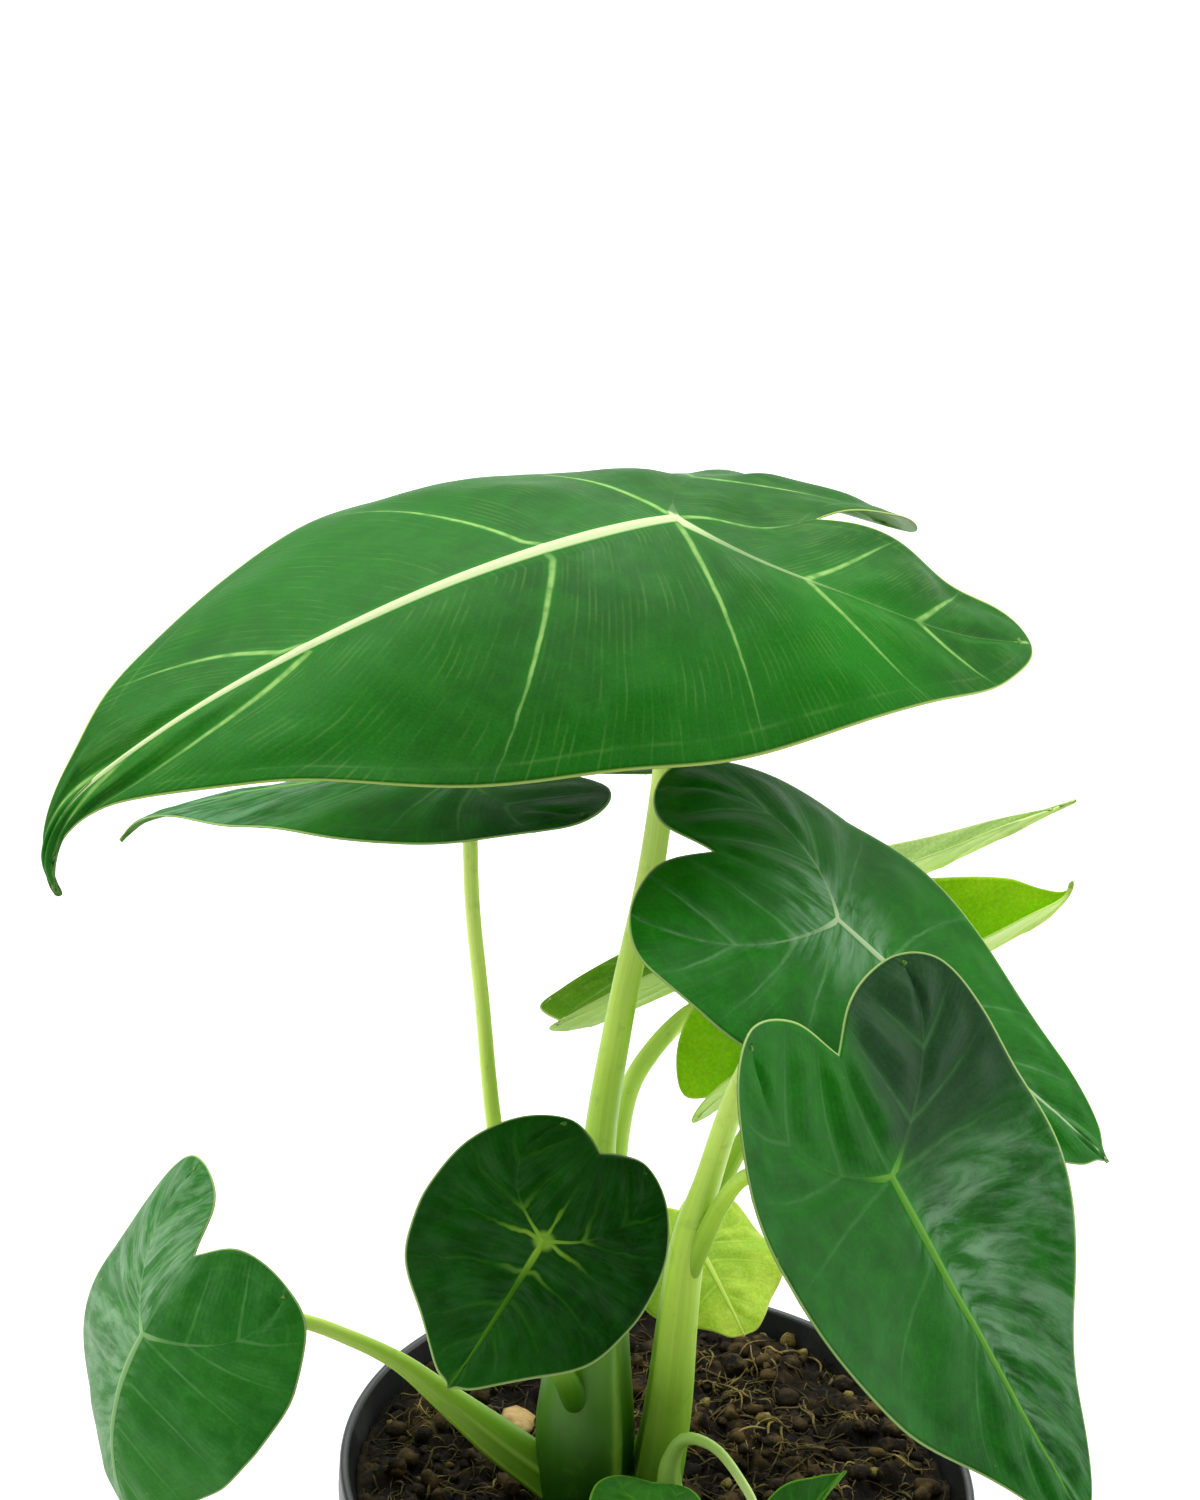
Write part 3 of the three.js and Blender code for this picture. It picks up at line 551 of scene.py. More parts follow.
def build_leaf(name, leaf, look, material):
    values, triangles = merge(leaf)
    x, y = values["flat"][:, 0], values["flat"][:, 1]
    _, _, up = midrib_frame(leaf, x)
    middle = blade_point(leaf, x, y) + up * values["wave"][:, None]
    normals = point_normals(middle, triangles)
    bumpy = rough_noise(x / leaf.grain, y / leaf.grain, leaf.seed + 40, 2)
    lift = leaf.quilt * (values["quilt"] - 0.35) * (1 + 0.3 * bumpy) + leaf.crumple * bumpy
    lift = lift * smooth(values["edge"], 0, 6)
    middle = middle + normals * lift[:, None]
    normals = point_normals(middle, triangles)
    ridge = np.maximum(0, 1 - values["rib"] ** 2)
    small = np.maximum(0, 1 - values["vein"] ** 2)
    ridge = ridge * values["rib_width"]
    small = small * values["vein_width"]
    above = RIB_ABOVE * ridge + VEIN_ABOVE * small
    below = RIB_BELOW * ridge + VEIN_BELOW * small
    thick = BLADE_EDGE + (BLADE - BLADE_EDGE) * smooth(values["edge"], 0, 3)
    top = middle + normals * (thick / 2 + above)[:, None]
    bottom = middle - normals * (thick / 2 + below)[:, None]
    count = len(top)
    rim = rim_edges(triangles)
    side_a = np.stack([rim[:, 0], rim[:, 0] + count, rim[:, 1] + count], -1)
    side_b = np.stack([rim[:, 0], rim[:, 1] + count, rim[:, 1]], -1)
    faces = np.vstack([triangles, triangles[:, ::-1] + count, side_a, side_b])
    glow = values["rib_glow"] * (1 + (look.lobe_rib - 1) * values["back"])
    attributes = {
        "flat": np.stack([x, y, 0 * x + leaf.seed * 7.3], -1),
        "veins": np.stack([values["number"], values["spacing"], values["vein_width"]], -1),
        "spine": np.stack([values["rib"], glow, values["reach"]], -1),
        "edge": values["edge"],
    }
    attributes = {key: np.concatenate([face, face]) for key, face in attributes.items()}
    attributes["under"] = np.repeat([0, 1], count)
    mesh_piece(f"leaf_{name}", np.vstack([top, bottom]), faces, material, [f"blade_{name}"], attributes)


# Node materials

def tone(red, green, blue):
    """Display colour from 0 to 255 as a linear colour."""
    linear = [((v / 255 + 0.055) / 1.055) ** 2.4 if v > 10 else v / 3295 for v in (red, green, blue)]
    return *linear, 1


class Shader:
    """Builds one material's nodes."""

    def __init__(self, name):
        self.material = bpy.data.materials.new(name)
        self.material.use_nodes = True
        self.tree = self.material.node_tree
        self.surface = self.tree.nodes["Principled BSDF"]

    def node(self, kind, inputs=(), **settings):
        node = self.tree.nodes.new(kind)
        for key, value in settings.items():
            setattr(node, key, value)
        for key, value in dict(inputs).items():
            self.put(node.inputs[key], value)
        return node

    def put(self, socket, value):
        if isinstance(value, bpy.types.NodeSocket):
            self.tree.links.new(value, socket)
        else:
            socket.default_value = value

    def attribute(self, name, output="Fac"):
        return self.node("ShaderNodeAttribute", attribute_name=name).outputs[output]

    def parts(self, vector):
        return self.node("ShaderNodeSeparateXYZ", {"Vector": vector}).outputs

    def object_place(self):
        return self.node("ShaderNodeTexCoord").outputs["Object"]

    def vector(self, x, y, z=0.0):
        return self.node("ShaderNodeCombineXYZ", {0: x, 1: y, 2: z}).outputs[0]

    def math(self, operation, a, b=0.0):
        return self.node("ShaderNodeMath", {0: a, 1: b}, operation=operation).outputs[0]

    def times(self, value, *others):
        for other in others:
            value = self.math("MULTIPLY", value, other)
        return value

    def plus(self, a, b):
        return self.math("ADD", a, b)

    def most(self, a, b):
        return self.math("MAXIMUM", a, b)

    def off_whole(self, value):
        """Distance to the nearest whole number."""
        return self.math("ABSOLUTE", self.math("SUBTRACT", value, self.math("ROUND", value)))

    def ease(self, value, low, high, top=1.0, bottom=0.0):
        """Bottom below low, top above high, eased between them."""
        inputs = {"Value": value, "From Min": low, "From Max": high, "To Min": bottom, "To Max": top}
        return self.node("ShaderNodeMapRange", inputs, interpolation_type="SMOOTHSTEP").outputs[0]

    def mix(self, factor, a, b, blend="MIX"):
        node = self.node("ShaderNodeMix", {"Factor": factor}, data_type="RGBA", blend_type=blend)
        self.put(node.inputs[6], a)
        self.put(node.inputs[7], b)
        return node.outputs[2]

    def noise(self, vector, scale, detail=3.0, roughness=0.55, distortion=0.0):
        inputs = {"Vector": vector, "Scale": scale, "Detail": detail, "Roughness": roughness,
                  "Distortion": distortion}
        return self.node("ShaderNodeTexNoise", inputs).outputs["Fac"]

    def bump(self, height, distance, strength):
        inputs = {"Height": height, "Distance": distance, "Strength": strength}
        return self.node("ShaderNodeBump", inputs).outputs["Normal"]

    def finish(self, **sockets):
        for key, value in sockets.items():
            self.put(self.surface.inputs[key.replace("_", " ")], value)
        return self.material


# Colours and strengths of each leaf's look. The pale streaky colour laid over the green is painted sheen: the
# velvet's sheen painted into the colour, on one half or towards the tip where a look asks for it.
LOOK_DEFAULTS = dict(
    dark=tone(14, 76, 6), light=tone(28, 98, 16), bright=tone(32, 116, 4), patch=0.6,
    rib=tone(104, 152, 70), rib_core=0.9, lobe_rib=0.3, vein=tone(84, 134, 78), vein_strength=0.4,
    crooked=0.06, fine_count=8, fine_strength=0.1, frost=tone(116, 152, 118), frost_strength=0.3,
    frost_reach=38, frost_side=0, frost_tip=0, frost_ahead=False, frost_veins=0.3, cloud=0.15,
    bright_spot=None, margin=tone(150, 178, 104), margin_width=0.42, star=0, velvet=0, spots=0,
    tip=None, under=tone(84, 124, 60), gloss=0.08, sheen=0.02,
)
LOOKS = {
    "large": dict(
        dark=tone(14, 80, 4), light=tone(22, 96, 7), bright=tone(18, 118, 0), patch=0.35,
        bright_spot=(-24.0, 34.0, 34.0), rib=tone(196, 214, 158), rib_core=1.0, lobe_rib=0.36,
        vein=tone(142, 186, 98), vein_strength=0.8, fine_count=26, fine_strength=0.1,
        frost_strength=0.12, crooked=0.012, margin=tone(176, 202, 104), margin_width=0.6, cloud=0.3,
    ),
    "second": dict(
        dark=tone(8, 66, 2), light=tone(18, 96, 6), frost_strength=0.4, frost_reach=8, frost_tip=1.4,
        frost_veins=0.05, cloud=0.0, frost=tone(116, 162, 122), gloss=0.02, sheen=0,
    ),
    "right": dict(
        dark=tone(13, 90, 2), light=tone(24, 112, 8), rib=tone(170, 194, 150), vein=tone(104, 154, 102),
        frost=tone(146, 182, 152), frost_strength=0.7, frost_reach=20, frost_veins=0.12,
        vein_strength=0.35, fine_strength=0.05, cloud=0.0,
    ),
    "front": dict(
        dark=tone(12, 74, 6), light=tone(22, 100, 14), rib=tone(92, 146, 48), vein=tone(78, 124, 72),
        frost=tone(126, 164, 130), frost_strength=0.8, frost_side=1, frost_reach=110, frost_ahead=True,
        vein_strength=0.3, fine_strength=0.06, bright=tone(24, 114, 3), lobe_rib=0.1, velvet=0.8,
        spots=0.45, cloud=0.0,
    ),
    "round": dict(
        dark=tone(6, 54, 1), light=tone(14, 80, 4), rib=tone(84, 132, 20), vein=tone(58, 112, 28),
        frost_strength=0.15, vein_strength=0.4, fine_strength=0.04, bright=tone(22, 94, 4), lobe_rib=0.1,
        rib_core=0.6, crooked=0.3, star=0.8,
    ),
    "left": dict(
        dark=tone(20, 92, 14), light=tone(40, 112, 32), rib=tone(128, 168, 110), vein=tone(96, 142, 88),
        frost=tone(134, 170, 132), frost_strength=0.8, frost_side=-1, frost_reach=70,
        vein_strength=0.35, bright=tone(40, 118, 16), spots=0.5, cloud=0.2,
    ),
    "folded": dict(
        dark=tone(104, 160, 30), light=tone(134, 182, 56), bright=tone(120, 176, 30),
        rib=tone(196, 218, 130), vein=tone(192, 214, 140), frost_strength=0.1,
        margin=tone(200, 220, 140), under=tone(196, 222, 140), tip=tone(190, 218, 136),
    ),
    "young": dict(
        dark=tone(148, 212, 10), light=tone(168, 224, 24), bright=tone(176, 230, 28),
        rib=tone(196, 226, 90), vein=tone(172, 214, 66), frost_strength=0.05,
        margin=tone(186, 220, 90), under=tone(188, 216, 122),
    ),
    "old": dict(
        dark=tone(136, 174, 32), light=tone(182, 204, 70), bright=tone(106, 156, 20), patch=0.9,
        rib=tone(192, 212, 100), vein=tone(180, 204, 84), frost_strength=0.1, margin=tone(176, 192, 80),
        under=tone(176, 196, 80),
    ),
    "offset": dict(
        dark=tone(20, 82, 4), light=tone(44, 114, 10), bright=tone(56, 130, 14), rib=tone(110, 160, 44),
        vein=tone(72, 134, 32), frost_strength=0.05, margin=tone(100, 150, 40), under=tone(80, 130, 40),
    ),
}
STAR = tone(150, 194, 66)
# Grey green of the painted shade on a back lobe that faces away from the light.
LOBE_SHADE = tone(34, 62, 38)
SPOT = tone(176, 186, 70)


def leaf_inputs(s, look):
    """Values that the layers of a leaf's colour are made from."""
    flat = s.attribute("flat", "Vector")
    along, across, _ = s.parts(flat)
    number, spacing, width = s.parts(s.attribute("veins", "Vector"))
    rib, glow, reach = s.parts(s.attribute("spine", "Vector"))
    wander = s.times(s.math("SUBTRACT", s.noise(flat, 0.06, 1, 0.5), 0.5), 1.6 / look.fine_count)
    bend = s.times(s.math("SUBTRACT", s.noise(flat, 0.22, 2, 0.5), 0.5), look.crooked)
    fine = s.times(s.plus(number, wander), look.fine_count)
    off_vein = s.times(s.off_whole(s.plus(number, bend)), spacing)
    return SimpleNamespace(
        flat=flat, along=along, across=across, rib=rib, glow=glow, reach=reach,
        vein=s.math("DIVIDE", off_vein, width),
        fine=s.times(s.off_whole(fine), s.math("DIVIDE", spacing, look.fine_count)),
        combed=s.vector(s.times(number, 5.0), s.times(reach, 2.2), s.times(across, 0.04)),
        each_line=s.vector(s.times(s.math("ROUND", fine), 0.71), s.times(reach, 3.0), s.times(across, 0.02)),
        from_joint=s.math("SQRT", s.plus(s.times(along, along), s.times(across, across))),
        edge=s.attribute("edge"), under=s.attribute("under"),
        cloudy=s.noise(flat, 0.16, 4, 0.6, 0.6), speckle=s.noise(flat, 1.6, 3, 0.6),
    )


def leaf_ground(s, v, look):
    """Green of the blade, mottled at three sizes."""
    broad = s.noise(v.flat, 0.022, 2, 0.45, 0.3)
    colour = s.mix(s.ease(v.cloudy, 0.25, 0.8), look.dark, look.light)
    colour = s.mix(s.ease(broad, 0.4, 0.7, look.patch), colour, look.bright)
    if look.bright_spot:
        x, y, radius = look.bright_spot
        away = s.vector(s.math("SUBTRACT", v.along, x), s.math("SUBTRACT", v.across, y))
        away = s.node("ShaderNodeVectorMath", {0: away}, operation="LENGTH").outputs["Value"]
        colour = s.mix(s.ease(away, radius, 0.0, 0.8), colour, look.bright)
    if look.tip:
        colour = s.mix(s.ease(v.along, -12.0, 36.0, 0.9), colour, look.tip)
    # Painted shade: the back lobe on one side, turned away from the light, darkened to a velvet grey green.
    if look.velvet:
        lobe = s.times(s.ease(v.along, 12.0, -6.0), s.ease(v.across, 1.0, 9.0))
        colour = s.mix(s.times(lobe, look.velvet), colour, LOBE_SHADE)
    darker = s.mix(s.ease(v.speckle, 0.3, 0.8), (0.84, 0.84, 0.84, 1), (1.12, 1.12, 1.12, 1))
    return s.mix(1.0, colour, darker, "MULTIPLY")


def leaf_painted_sheen(s, v, look, colour):
    """Painted sheen: a pale streaky painted highlight of the velvet about the joint, the midrib and the
    veins.
    """
    about = s.ease(v.from_joint, look.frost_reach, 4.0)
    streaks = s.noise(v.combed, 1.0, 5, 0.62, 0.5)
    near_rib = s.times(s.ease(v.rib, 8.0, 1.0, 0.8), s.ease(about, 0.0, 0.5, bottom=0.3))
    near_vein = s.ease(v.vein, 7.0, 0.6, look.frost_veins)
    sheen_mask = s.most(s.most(near_rib, near_vein), s.times(about, 0.7))
    # Painted sheen towards the tip.
    if look.frost_tip:
        sheen_mask = s.most(sheen_mask, s.ease(v.along, 5.0, 60.0, look.frost_tip))
    sheen_mask = s.plus(sheen_mask, s.ease(v.cloudy, 0.45, 0.8, look.cloud))
    sheen_mask = s.times(sheen_mask, s.ease(streaks, 0.36, 0.7))
    # Painted sheen ahead of the joint only.
    if look.frost_ahead:
        sheen_mask = s.times(sheen_mask, s.ease(v.along, -2.0, 14.0, bottom=0.05))
    # Painted sheen on one half of the blade only, the half turned towards the light.
    if look.frost_side:
        side = s.times(v.across, look.frost_side)
        sheen_mask = s.times(sheen_mask, s.ease(side, -4.0, 2.0, bottom=0.05))
    return s.mix(s.times(sheen_mask, look.frost_strength), colour, look.frost)


def leaf_veins(s, v, look, colour):
    """Fine veins, main veins, midrib and the vein along the margin."""
    broken = s.ease(s.noise(v.flat, 0.3, 2, 0.5), 0.3, 0.62, bottom=0.45)
    patchy = s.ease(s.noise(v.flat, 0.12, 2, 0.5), 0.38, 0.62, bottom=0.15)
    fine = s.ease(v.fine, 0.34, 0.05, look.fine_strength)
    uneven = s.ease(s.noise(v.each_line, 1.0, 2, 0.6), 0.4, 0.62, bottom=0.1)
    colour = s.mix(s.times(fine, patchy, uneven), colour, look.vein)
    fading = s.ease(v.reach, 0.98, 0.45, bottom=0.15)
    glow = s.ease(v.vein, 3.4, 0.4, 0.4 * look.vein_strength)
    colour = s.mix(s.times(glow, fading), colour, look.bright)
    line = s.times(s.ease(v.vein, 1.25, 0.3, look.vein_strength), fading)
    colour = s.mix(s.times(line, broken), colour, look.vein)
    halo = s.times(s.ease(v.rib, 2.3, 0.9, 0.55), v.glow)
    colour = s.mix(halo, colour, look.bright)
    core = s.times(s.ease(v.rib, 1.15, 0.75, look.rib_core), v.glow)
    colour = s.mix(core, colour, look.rib)
    if look.star:
        rays = s.most(s.ease(v.vein, 1.6, 0.4), s.ease(v.rib, 1.4, 0.7))
        star = s.times(rays, s.ease(v.from_joint, 11.0, 2.0, look.star))
        star = s.most(star, s.ease(v.from_joint, 2.6, 1.2, look.star))
        colour = s.mix(star, colour, STAR)
    rim = s.times(s.ease(v.edge, 4.2, 3.8), s.ease(v.edge, 3.2, 3.7), patchy, 0.8 * look.fine_strength)
    return s.mix(rim, colour, look.vein)


def leaf_spots(s, v, look, colour):
    """Small yellow specks, most of them near the margin."""
    specks = s.ease(s.noise(v.flat, 0.6, 2, 0.6), 0.74, 0.8)
    near_margin = s.ease(v.edge, 14.0, 2.0, bottom=0.25)
    return s.mix(s.times(specks, near_margin, look.spots), colour, SPOT)


def leaf_material(name, look):
    s = Shader(f"leaf_{name}")
    v = leaf_inputs(s, look)
    colour = leaf_ground(s, v, look)
    colour = leaf_painted_sheen(s, v, look, colour)
    colour = leaf_veins(s, v, look, colour)
    if look.spots:
        colour = leaf_spots(s, v, look, colour)
    colour = s.mix(s.ease(v.edge, look.margin_width, 0.12), colour, look.margin)
    under_vein = s.most(s.ease(v.rib, 1.6, 0.7), s.ease(v.vein, 1.8, 0.5, 0.7))
    under_pale = s.mix(1.0, look.under, (1.22, 1.2, 1.1, 1), "MULTIPLY")
    under_colour = s.mix(under_vein, look.under, under_pale)
    under_colour = s.mix(s.ease(v.cloudy, 0.35, 0.75, 0.3), under_colour, look.light)
    colour = s.mix(s.ease(v.under, 0.4, 0.6), colour, under_colour)
    rough = s.ease(v.speckle, 0.2, 0.8, 0.52, 0.36)
    height = s.plus(s.times(v.speckle, 0.5), s.times(s.noise(v.flat, 5.0, 2), 0.35))
    height = s.plus(height, s.ease(v.fine, 0.5, 0.0, -0.2))
    return s.finish(Base_Color=colour, Roughness=rough, Normal=s.bump(height, 0.00012, 0.6),
                    Sheen_Weight=look.sheen, Sheen_Roughness=0.4, Specular_IOR_Level=look.gloss)


def stalk_material(name, base, low, high, pale):
    """Dark at the foot of the stalk and paler up it, with faint long streaks."""
    s = Shader(name)
    around, along, wing = s.parts(s.attribute("place", "Vector"))
    share = s.attribute("share")
    streak = s.noise(s.vector(s.times(around, 6.0), s.times(along, 0.03), share), 1.0, 4, 0.6, 0.2)
    mottle = s.noise(s.object_place(), 260.0, 3, 0.6)
    colour = s.mix(s.ease(along, 14.0, 52.0), base, low)
    colour = s.mix(s.ease(along, 36.0, 110.0), colour, high)
    colour = s.mix(s.ease(share, 0.45, 0.9), colour, pale)
    shaded = s.mix(s.ease(streak, 0.35, 0.7), (0.9, 0.93, 0.84, 1), (1.05, 1.03, 1.08, 1))
    colour = s.mix(1.0, colour, shaded, "MULTIPLY")
    colour = s.mix(s.ease(mottle, 0.55, 0.75, 0.25), colour, low)
    colour = s.mix(s.ease(wing, 0.35, 0.9, 0.35), colour, high)
    height = s.plus(streak, s.times(mottle, 0.3))
    return s.finish(Base_Color=colour, Roughness=s.ease(streak, 0.2, 0.8, 0.5, 0.34),
                    Normal=s.bump(height, 0.00015, 0.3), Specular_IOR_Level=0.35,
                    Subsurface_Weight=0.15, Subsurface_Radius=(0.6, 1.0, 0.2), Subsurface_Scale=0.003)


def soil_material(name, dark, light, scale):
    """Painted shade between the clods and painted light on their tops: dark low down, paler only high up."""
    s = Shader(name)
    place = s.object_place()
    broad = s.noise(place, scale, 5, 0.65, 0.5)
    grain = s.noise(place, scale * 7, 4, 0.7)
    # Painted shade and light by height: the paler colour and the grain are only let in on the high tops.
    high = s.ease(s.parts(place)[2], (SOIL_TOP - 2.0) * MM, (SOIL_TOP + 1.8) * MM, bottom=0.15)
    colour = s.mix(s.times(s.ease(broad, 0.4, 0.68), high), dark, light)
    colour = s.mix(s.times(s.ease(grain, 0.5, 0.75, 0.7), high), colour, light)
    height = s.plus(broad, s.times(grain, 0.6))
    return s.finish(Base_Color=colour, Roughness=s.ease(grain, 0.3, 0.7, 0.98, 0.75),
                    Normal=s.bump(height, 0.0008, 0.9), Specular_IOR_Level=0.15)


def pot_material():
    s = Shader("pot_plastic")
    place = s.object_place()
    dust = s.noise(place, 60.0, 5, 0.7, 0.4)
    grain = s.noise(place, 1800.0, 2, 0.5)
    scuff = s.noise(place, 260.0, 4, 0.75, 1.5)
    colour = s.mix(s.ease(dust, 0.5, 0.8, 0.5), tone(26, 28, 30), tone(58, 62, 60))
    colour = s.mix(s.ease(scuff, 0.62, 0.78, 0.4), colour, tone(84, 88, 84))
    height = s.plus(grain, s.times(scuff, 0.4))
    return s.finish(Base_Color=colour, Roughness=s.ease(dust, 0.3, 0.8, 0.52, 0.34),
                    Normal=s.bump(height, 0.0001, 0.6), Specular_IOR_Level=0.5)


def floor_material():
    s = Shader("floor")
    place = s.object_place()
    faint = s.noise(place, 3.0, 3, 0.5)
    colour = s.mix(s.ease(faint, 0.3, 0.7), (0.86, 0.86, 0.86, 1), (0.88, 0.88, 0.88, 1))
    return s.finish(Base_Color=colour, Roughness=0.9, Specular_IOR_Level=0.0)


# Rings and tubes

def circle(x, y, radius, z, sides):
    """Ring of points round an upright axis."""
    angle = np.arange(sides) * 2 * math.pi / sides
    return np.stack([x + radius * np.cos(angle), y + radius * np.sin(angle), z + 0 * angle], -1)


def side_faces(count, sides):
    """Quads between rings that follow each other."""
    faces = []
    for i in range(count - 1):
        low, high = i * sides, (i + 1) * sides
        for k in range(sides):
            n = (k + 1) % sides
            faces.append((low + k, low + n, high + n, high + k))
    return faces


def skin(rings, downward=False):
    """Closed skin over rings of equally many points, given from the bottom up or downward."""
    count, sides = len(rings), len(rings[0])
    faces = side_faces(count, sides)
    faces.append(tuple(reversed(range(sides))))
    faces.append(tuple(range((count - 1) * sides, count * sides)))
    if downward:
        faces = [face[:1] + face[:0:-1] for face in faces]
    return np.vstack(rings), faces


def gather(parts):
    """Points and faces of several parts as those of one."""
    points, faces, start = [], [], 0
    for part_points, part_faces in parts:
        points.append(part_points)
        faces += [tuple(start + i for i in f) for f in part_faces]
        start += len(part_points)
    return np.vstack(points), faces


def directions(line):
    """Unit directions along a line, at each of its points."""
    forward = np.gradient(line, axis=0)
    return forward / np.linalg.norm(forward, axis=1, keepdims=True)


def across_line(forward, normal):
    """Two directions across a line at each of its points, carried along it without twist."""
    pairs = []
    for ahead in forward:
        normal = normal - ahead * (normal @ ahead)
        normal = normal / np.linalg.norm(normal)
        pairs.append((normal, np.cross(ahead, normal)))
    return pairs


# Stalks

STALK_SIDES = 28
STALK_STEP = 1.6
FOOT_SIDES = 48

# Half the width of a sheath's slit and of its lips, in radians
SLIT = 0.45
LIP = 0.16


def sweep(route, stalk):
    """Closed tube along a curve, with the pale wings of a sheath on its lower part."""
    fine = spline(route, 40)
    steps = np.linalg.norm(np.diff(fine, axis=0), axis=1)
    length = steps.sum()
    travelled = np.concatenate([[0], np.cumsum(steps)])
    count = max(8, int(length / STALK_STEP))
    at = np.linspace(0, length, count + 1)
    centre = np.stack([np.interp(at, travelled, fine[:, k]) for k in range(3)], -1)
    share = np.interp(at, travelled, np.linspace(0, 1, len(fine)))
    radii, sheath = stalk["radii"], stalk["sheath"]
    radius = np.interp(share, np.linspace(0, 1, len(radii)), radii)
    radius = np.convolve(np.pad(radius, 3, mode="edge"), np.ones(7) / 7, mode="valid")
    angle = np.arange(STALK_SIDES) * 2 * math.pi / STALK_SIDES
    cos, sin = np.cos(angle), np.sin(angle)
    from_slit = (angle - math.radians(stalk["turn"]) + math.pi) % (2 * math.pi) - math.pi
    lip = np.exp(-((np.abs(from_slit) - SLIT) / LIP) ** 2)
    groove = np.exp(-(from_slit / 0.3) ** 2)
    rings, wings = [], []
    for i, (normal, second) in enumerate(across_line(directions(centre), np.array([1.0, 0, 0]))):
        winged = float(smooth(at[i] / length, sheath + 0.1, sheath * 0.6)) if sheath else 0.0
        ring = radius[i] * (1 + winged * (0.08 * lip - 0.12 * groove) - (1 - winged) * 0.04 * groove)
        rings.append(centre[i] + np.outer(ring * cos, normal) + np.outer(ring * sin, second))
        wings.append(winged * lip)
    points = np.vstack(rings + [centre[:1], centre[-1:]])
    faces = side_faces(count + 1, STALK_SIDES)
    low, high, last = len(points) - 2, len(points) - 1, count * STALK_SIDES
    for k in range(STALK_SIDES):
        n = (k + 1) % STALK_SIDES
        faces.append((low, n, k))
        faces.append((high, last + k, last + n))
    place = np.stack([np.tile(cos, count + 1), np.repeat(at, STALK_SIDES), np.concatenate(wings)], -1)
    place = np.vstack([place, [0, 0, 0], [0, length, 0]])
    place[:, 1] += stalk["pale"]
    return points, faces, place, np.concatenate([np.repeat(at / length, STALK_SIDES), [0, 1]])


def foot(base):
    """Rounded foot that the stalks grow from."""
    radius, bottom, top = base["radius"], base["bottom"], base["top"]
    profile = spline([
        (0.02, bottom), (radius * 0.7, bottom + radius * 0.2), (radius * 0.98, bottom + radius),
        (radius, SOIL_TOP - 2), (radius * 0.8, (SOIL_TOP + top) / 2), (0.02, top),
    ], 8)
    points, faces = skin([circle(base["x"], base["y"], r, z, FOOT_SIDES) for r, z in profile])
    around = np.tile(circle(0, 0, 1, 0, FOOT_SIDES)[:, 0], len(profile))
    return points, faces, np.stack([around, points[:, 2] - SOIL_TOP, 0 * around], -1), 0 * around


def build_stalks(name, base, stalks, material, replaced):
    parts = [foot(base)]
    for key, stalk in stalks.items():
        leaf = leaf_named(key)
        _, _, up = midrib_frame(leaf, np.array(0.0))
        below_joint = up * (0.8 * stalk["radii"][-1] + 0.25)
        parts.append(sweep([*stalk["route"], np.array(leaf.joint) - below_joint], stalk))
    points, faces = gather([part[:2] for part in parts])
    attributes = {"place": np.vstack([part[2] for part in parts]),
                  "share": np.concatenate([part[3] for part in parts])}
    mesh_piece(name, points, faces, material, replaced, attributes)


# Pot

POT_SEGMENTS = 160
DRAIN_SIDES = 32


def wall_radius(z):
    return BASE_RADIUS + (WALL_TOP_RADIUS - BASE_RADIUS) * z / (POT_HEIGHT - LIP_DEPTH)


def arc(x, z, radius, first, last, steps):
    angles = np.radians(np.linspace(first, last, steps))
    return [(x + radius * math.cos(a), z + radius * math.sin(a)) for a in angles]


def pot_profile():
    """Outer wall, rolled lip and inner wall, from the middle of the base back to the floor inside."""
    foot_z = POT_HEIGHT - LIP_DEPTH
    inside = [(wall_radius(z) - WALL, z) for z in np.linspace(foot_z, FLOOR, 14)]
    outside = [(wall_radius(z), z) for z in np.linspace(1.5, foot_z - 0.5, 14)]
    return (
        [(0.02, 0), (BASE_RADIUS - 14, 0), (BASE_RADIUS - 1.5, 0), (BASE_RADIUS - 0.5, 0.4)]
        + outside
        + [(wall_radius(foot_z) + 0.2, foot_z - 0.1)]
        + arc(RIM_RADIUS - 0.7, foot_z + 0.7, 0.7, -90, 0, 5)
        + arc(RIM_RADIUS - 1.0, POT_HEIGHT - 1.0, 1.0, 0, 180, 13)
        + inside
        + [(BASE_RADIUS * 0.5, FLOOR), (0.02, FLOOR)]
    )


def build_pot(material):
    points, faces = skin([circle(0, 0, r, z, POT_SEGMENTS) for r, z in pot_profile()])
    pot = mesh_piece("pot_shell", points, faces, material, ["pot"])
    drill_drains(pot)
    pot.data.shade_smooth()
    pot.data.set_sharp_from_angle(angle=math.radians(38))


def drill_drains(pot):
    """Cuts the round drain holes through the base."""
    drains = []
    for i in range(DRAIN_COUNT):
        turn = (i + 0.5) * 2 * math.pi / DRAIN_COUNT
        x, y = DRAIN_CIRCLE * math.cos(turn), DRAIN_CIRCLE * math.sin(turn)
        drains.append(skin([circle(x, y, DRAIN_RADIUS, z, DRAIN_SIDES) for z in (-1, FLOOR + 1)]))
    points, faces = gather(drains)
    mesh = bpy.data.meshes.new("drains")
    mesh.from_pydata((points * MM).tolist(), [], faces)
    cutter = put_in_scene("drains", mesh)
    cut = pot.modifiers.new("drains", "BOOLEAN")
    cut.operation = "DIFFERENCE"
    cut.object = cutter
    cut.solver = "EXACT"
    evaluated = pot.evaluated_get(bpy.context.evaluated_depsgraph_get())
    pot.data = bpy.data.meshes.new_from_object(evaluated)
    pot.modifiers.clear()
    bpy.data.objects.remove(cutter)


# Soil

SOIL_RINGS = 84
SOIL_SEGMENTS = 260
THREAD_SIDES = 4
FIBRES = 1500
CRUMBS = 620
CRUMB_LEAST = 0.5
CRUMB_RANGE = 2.1

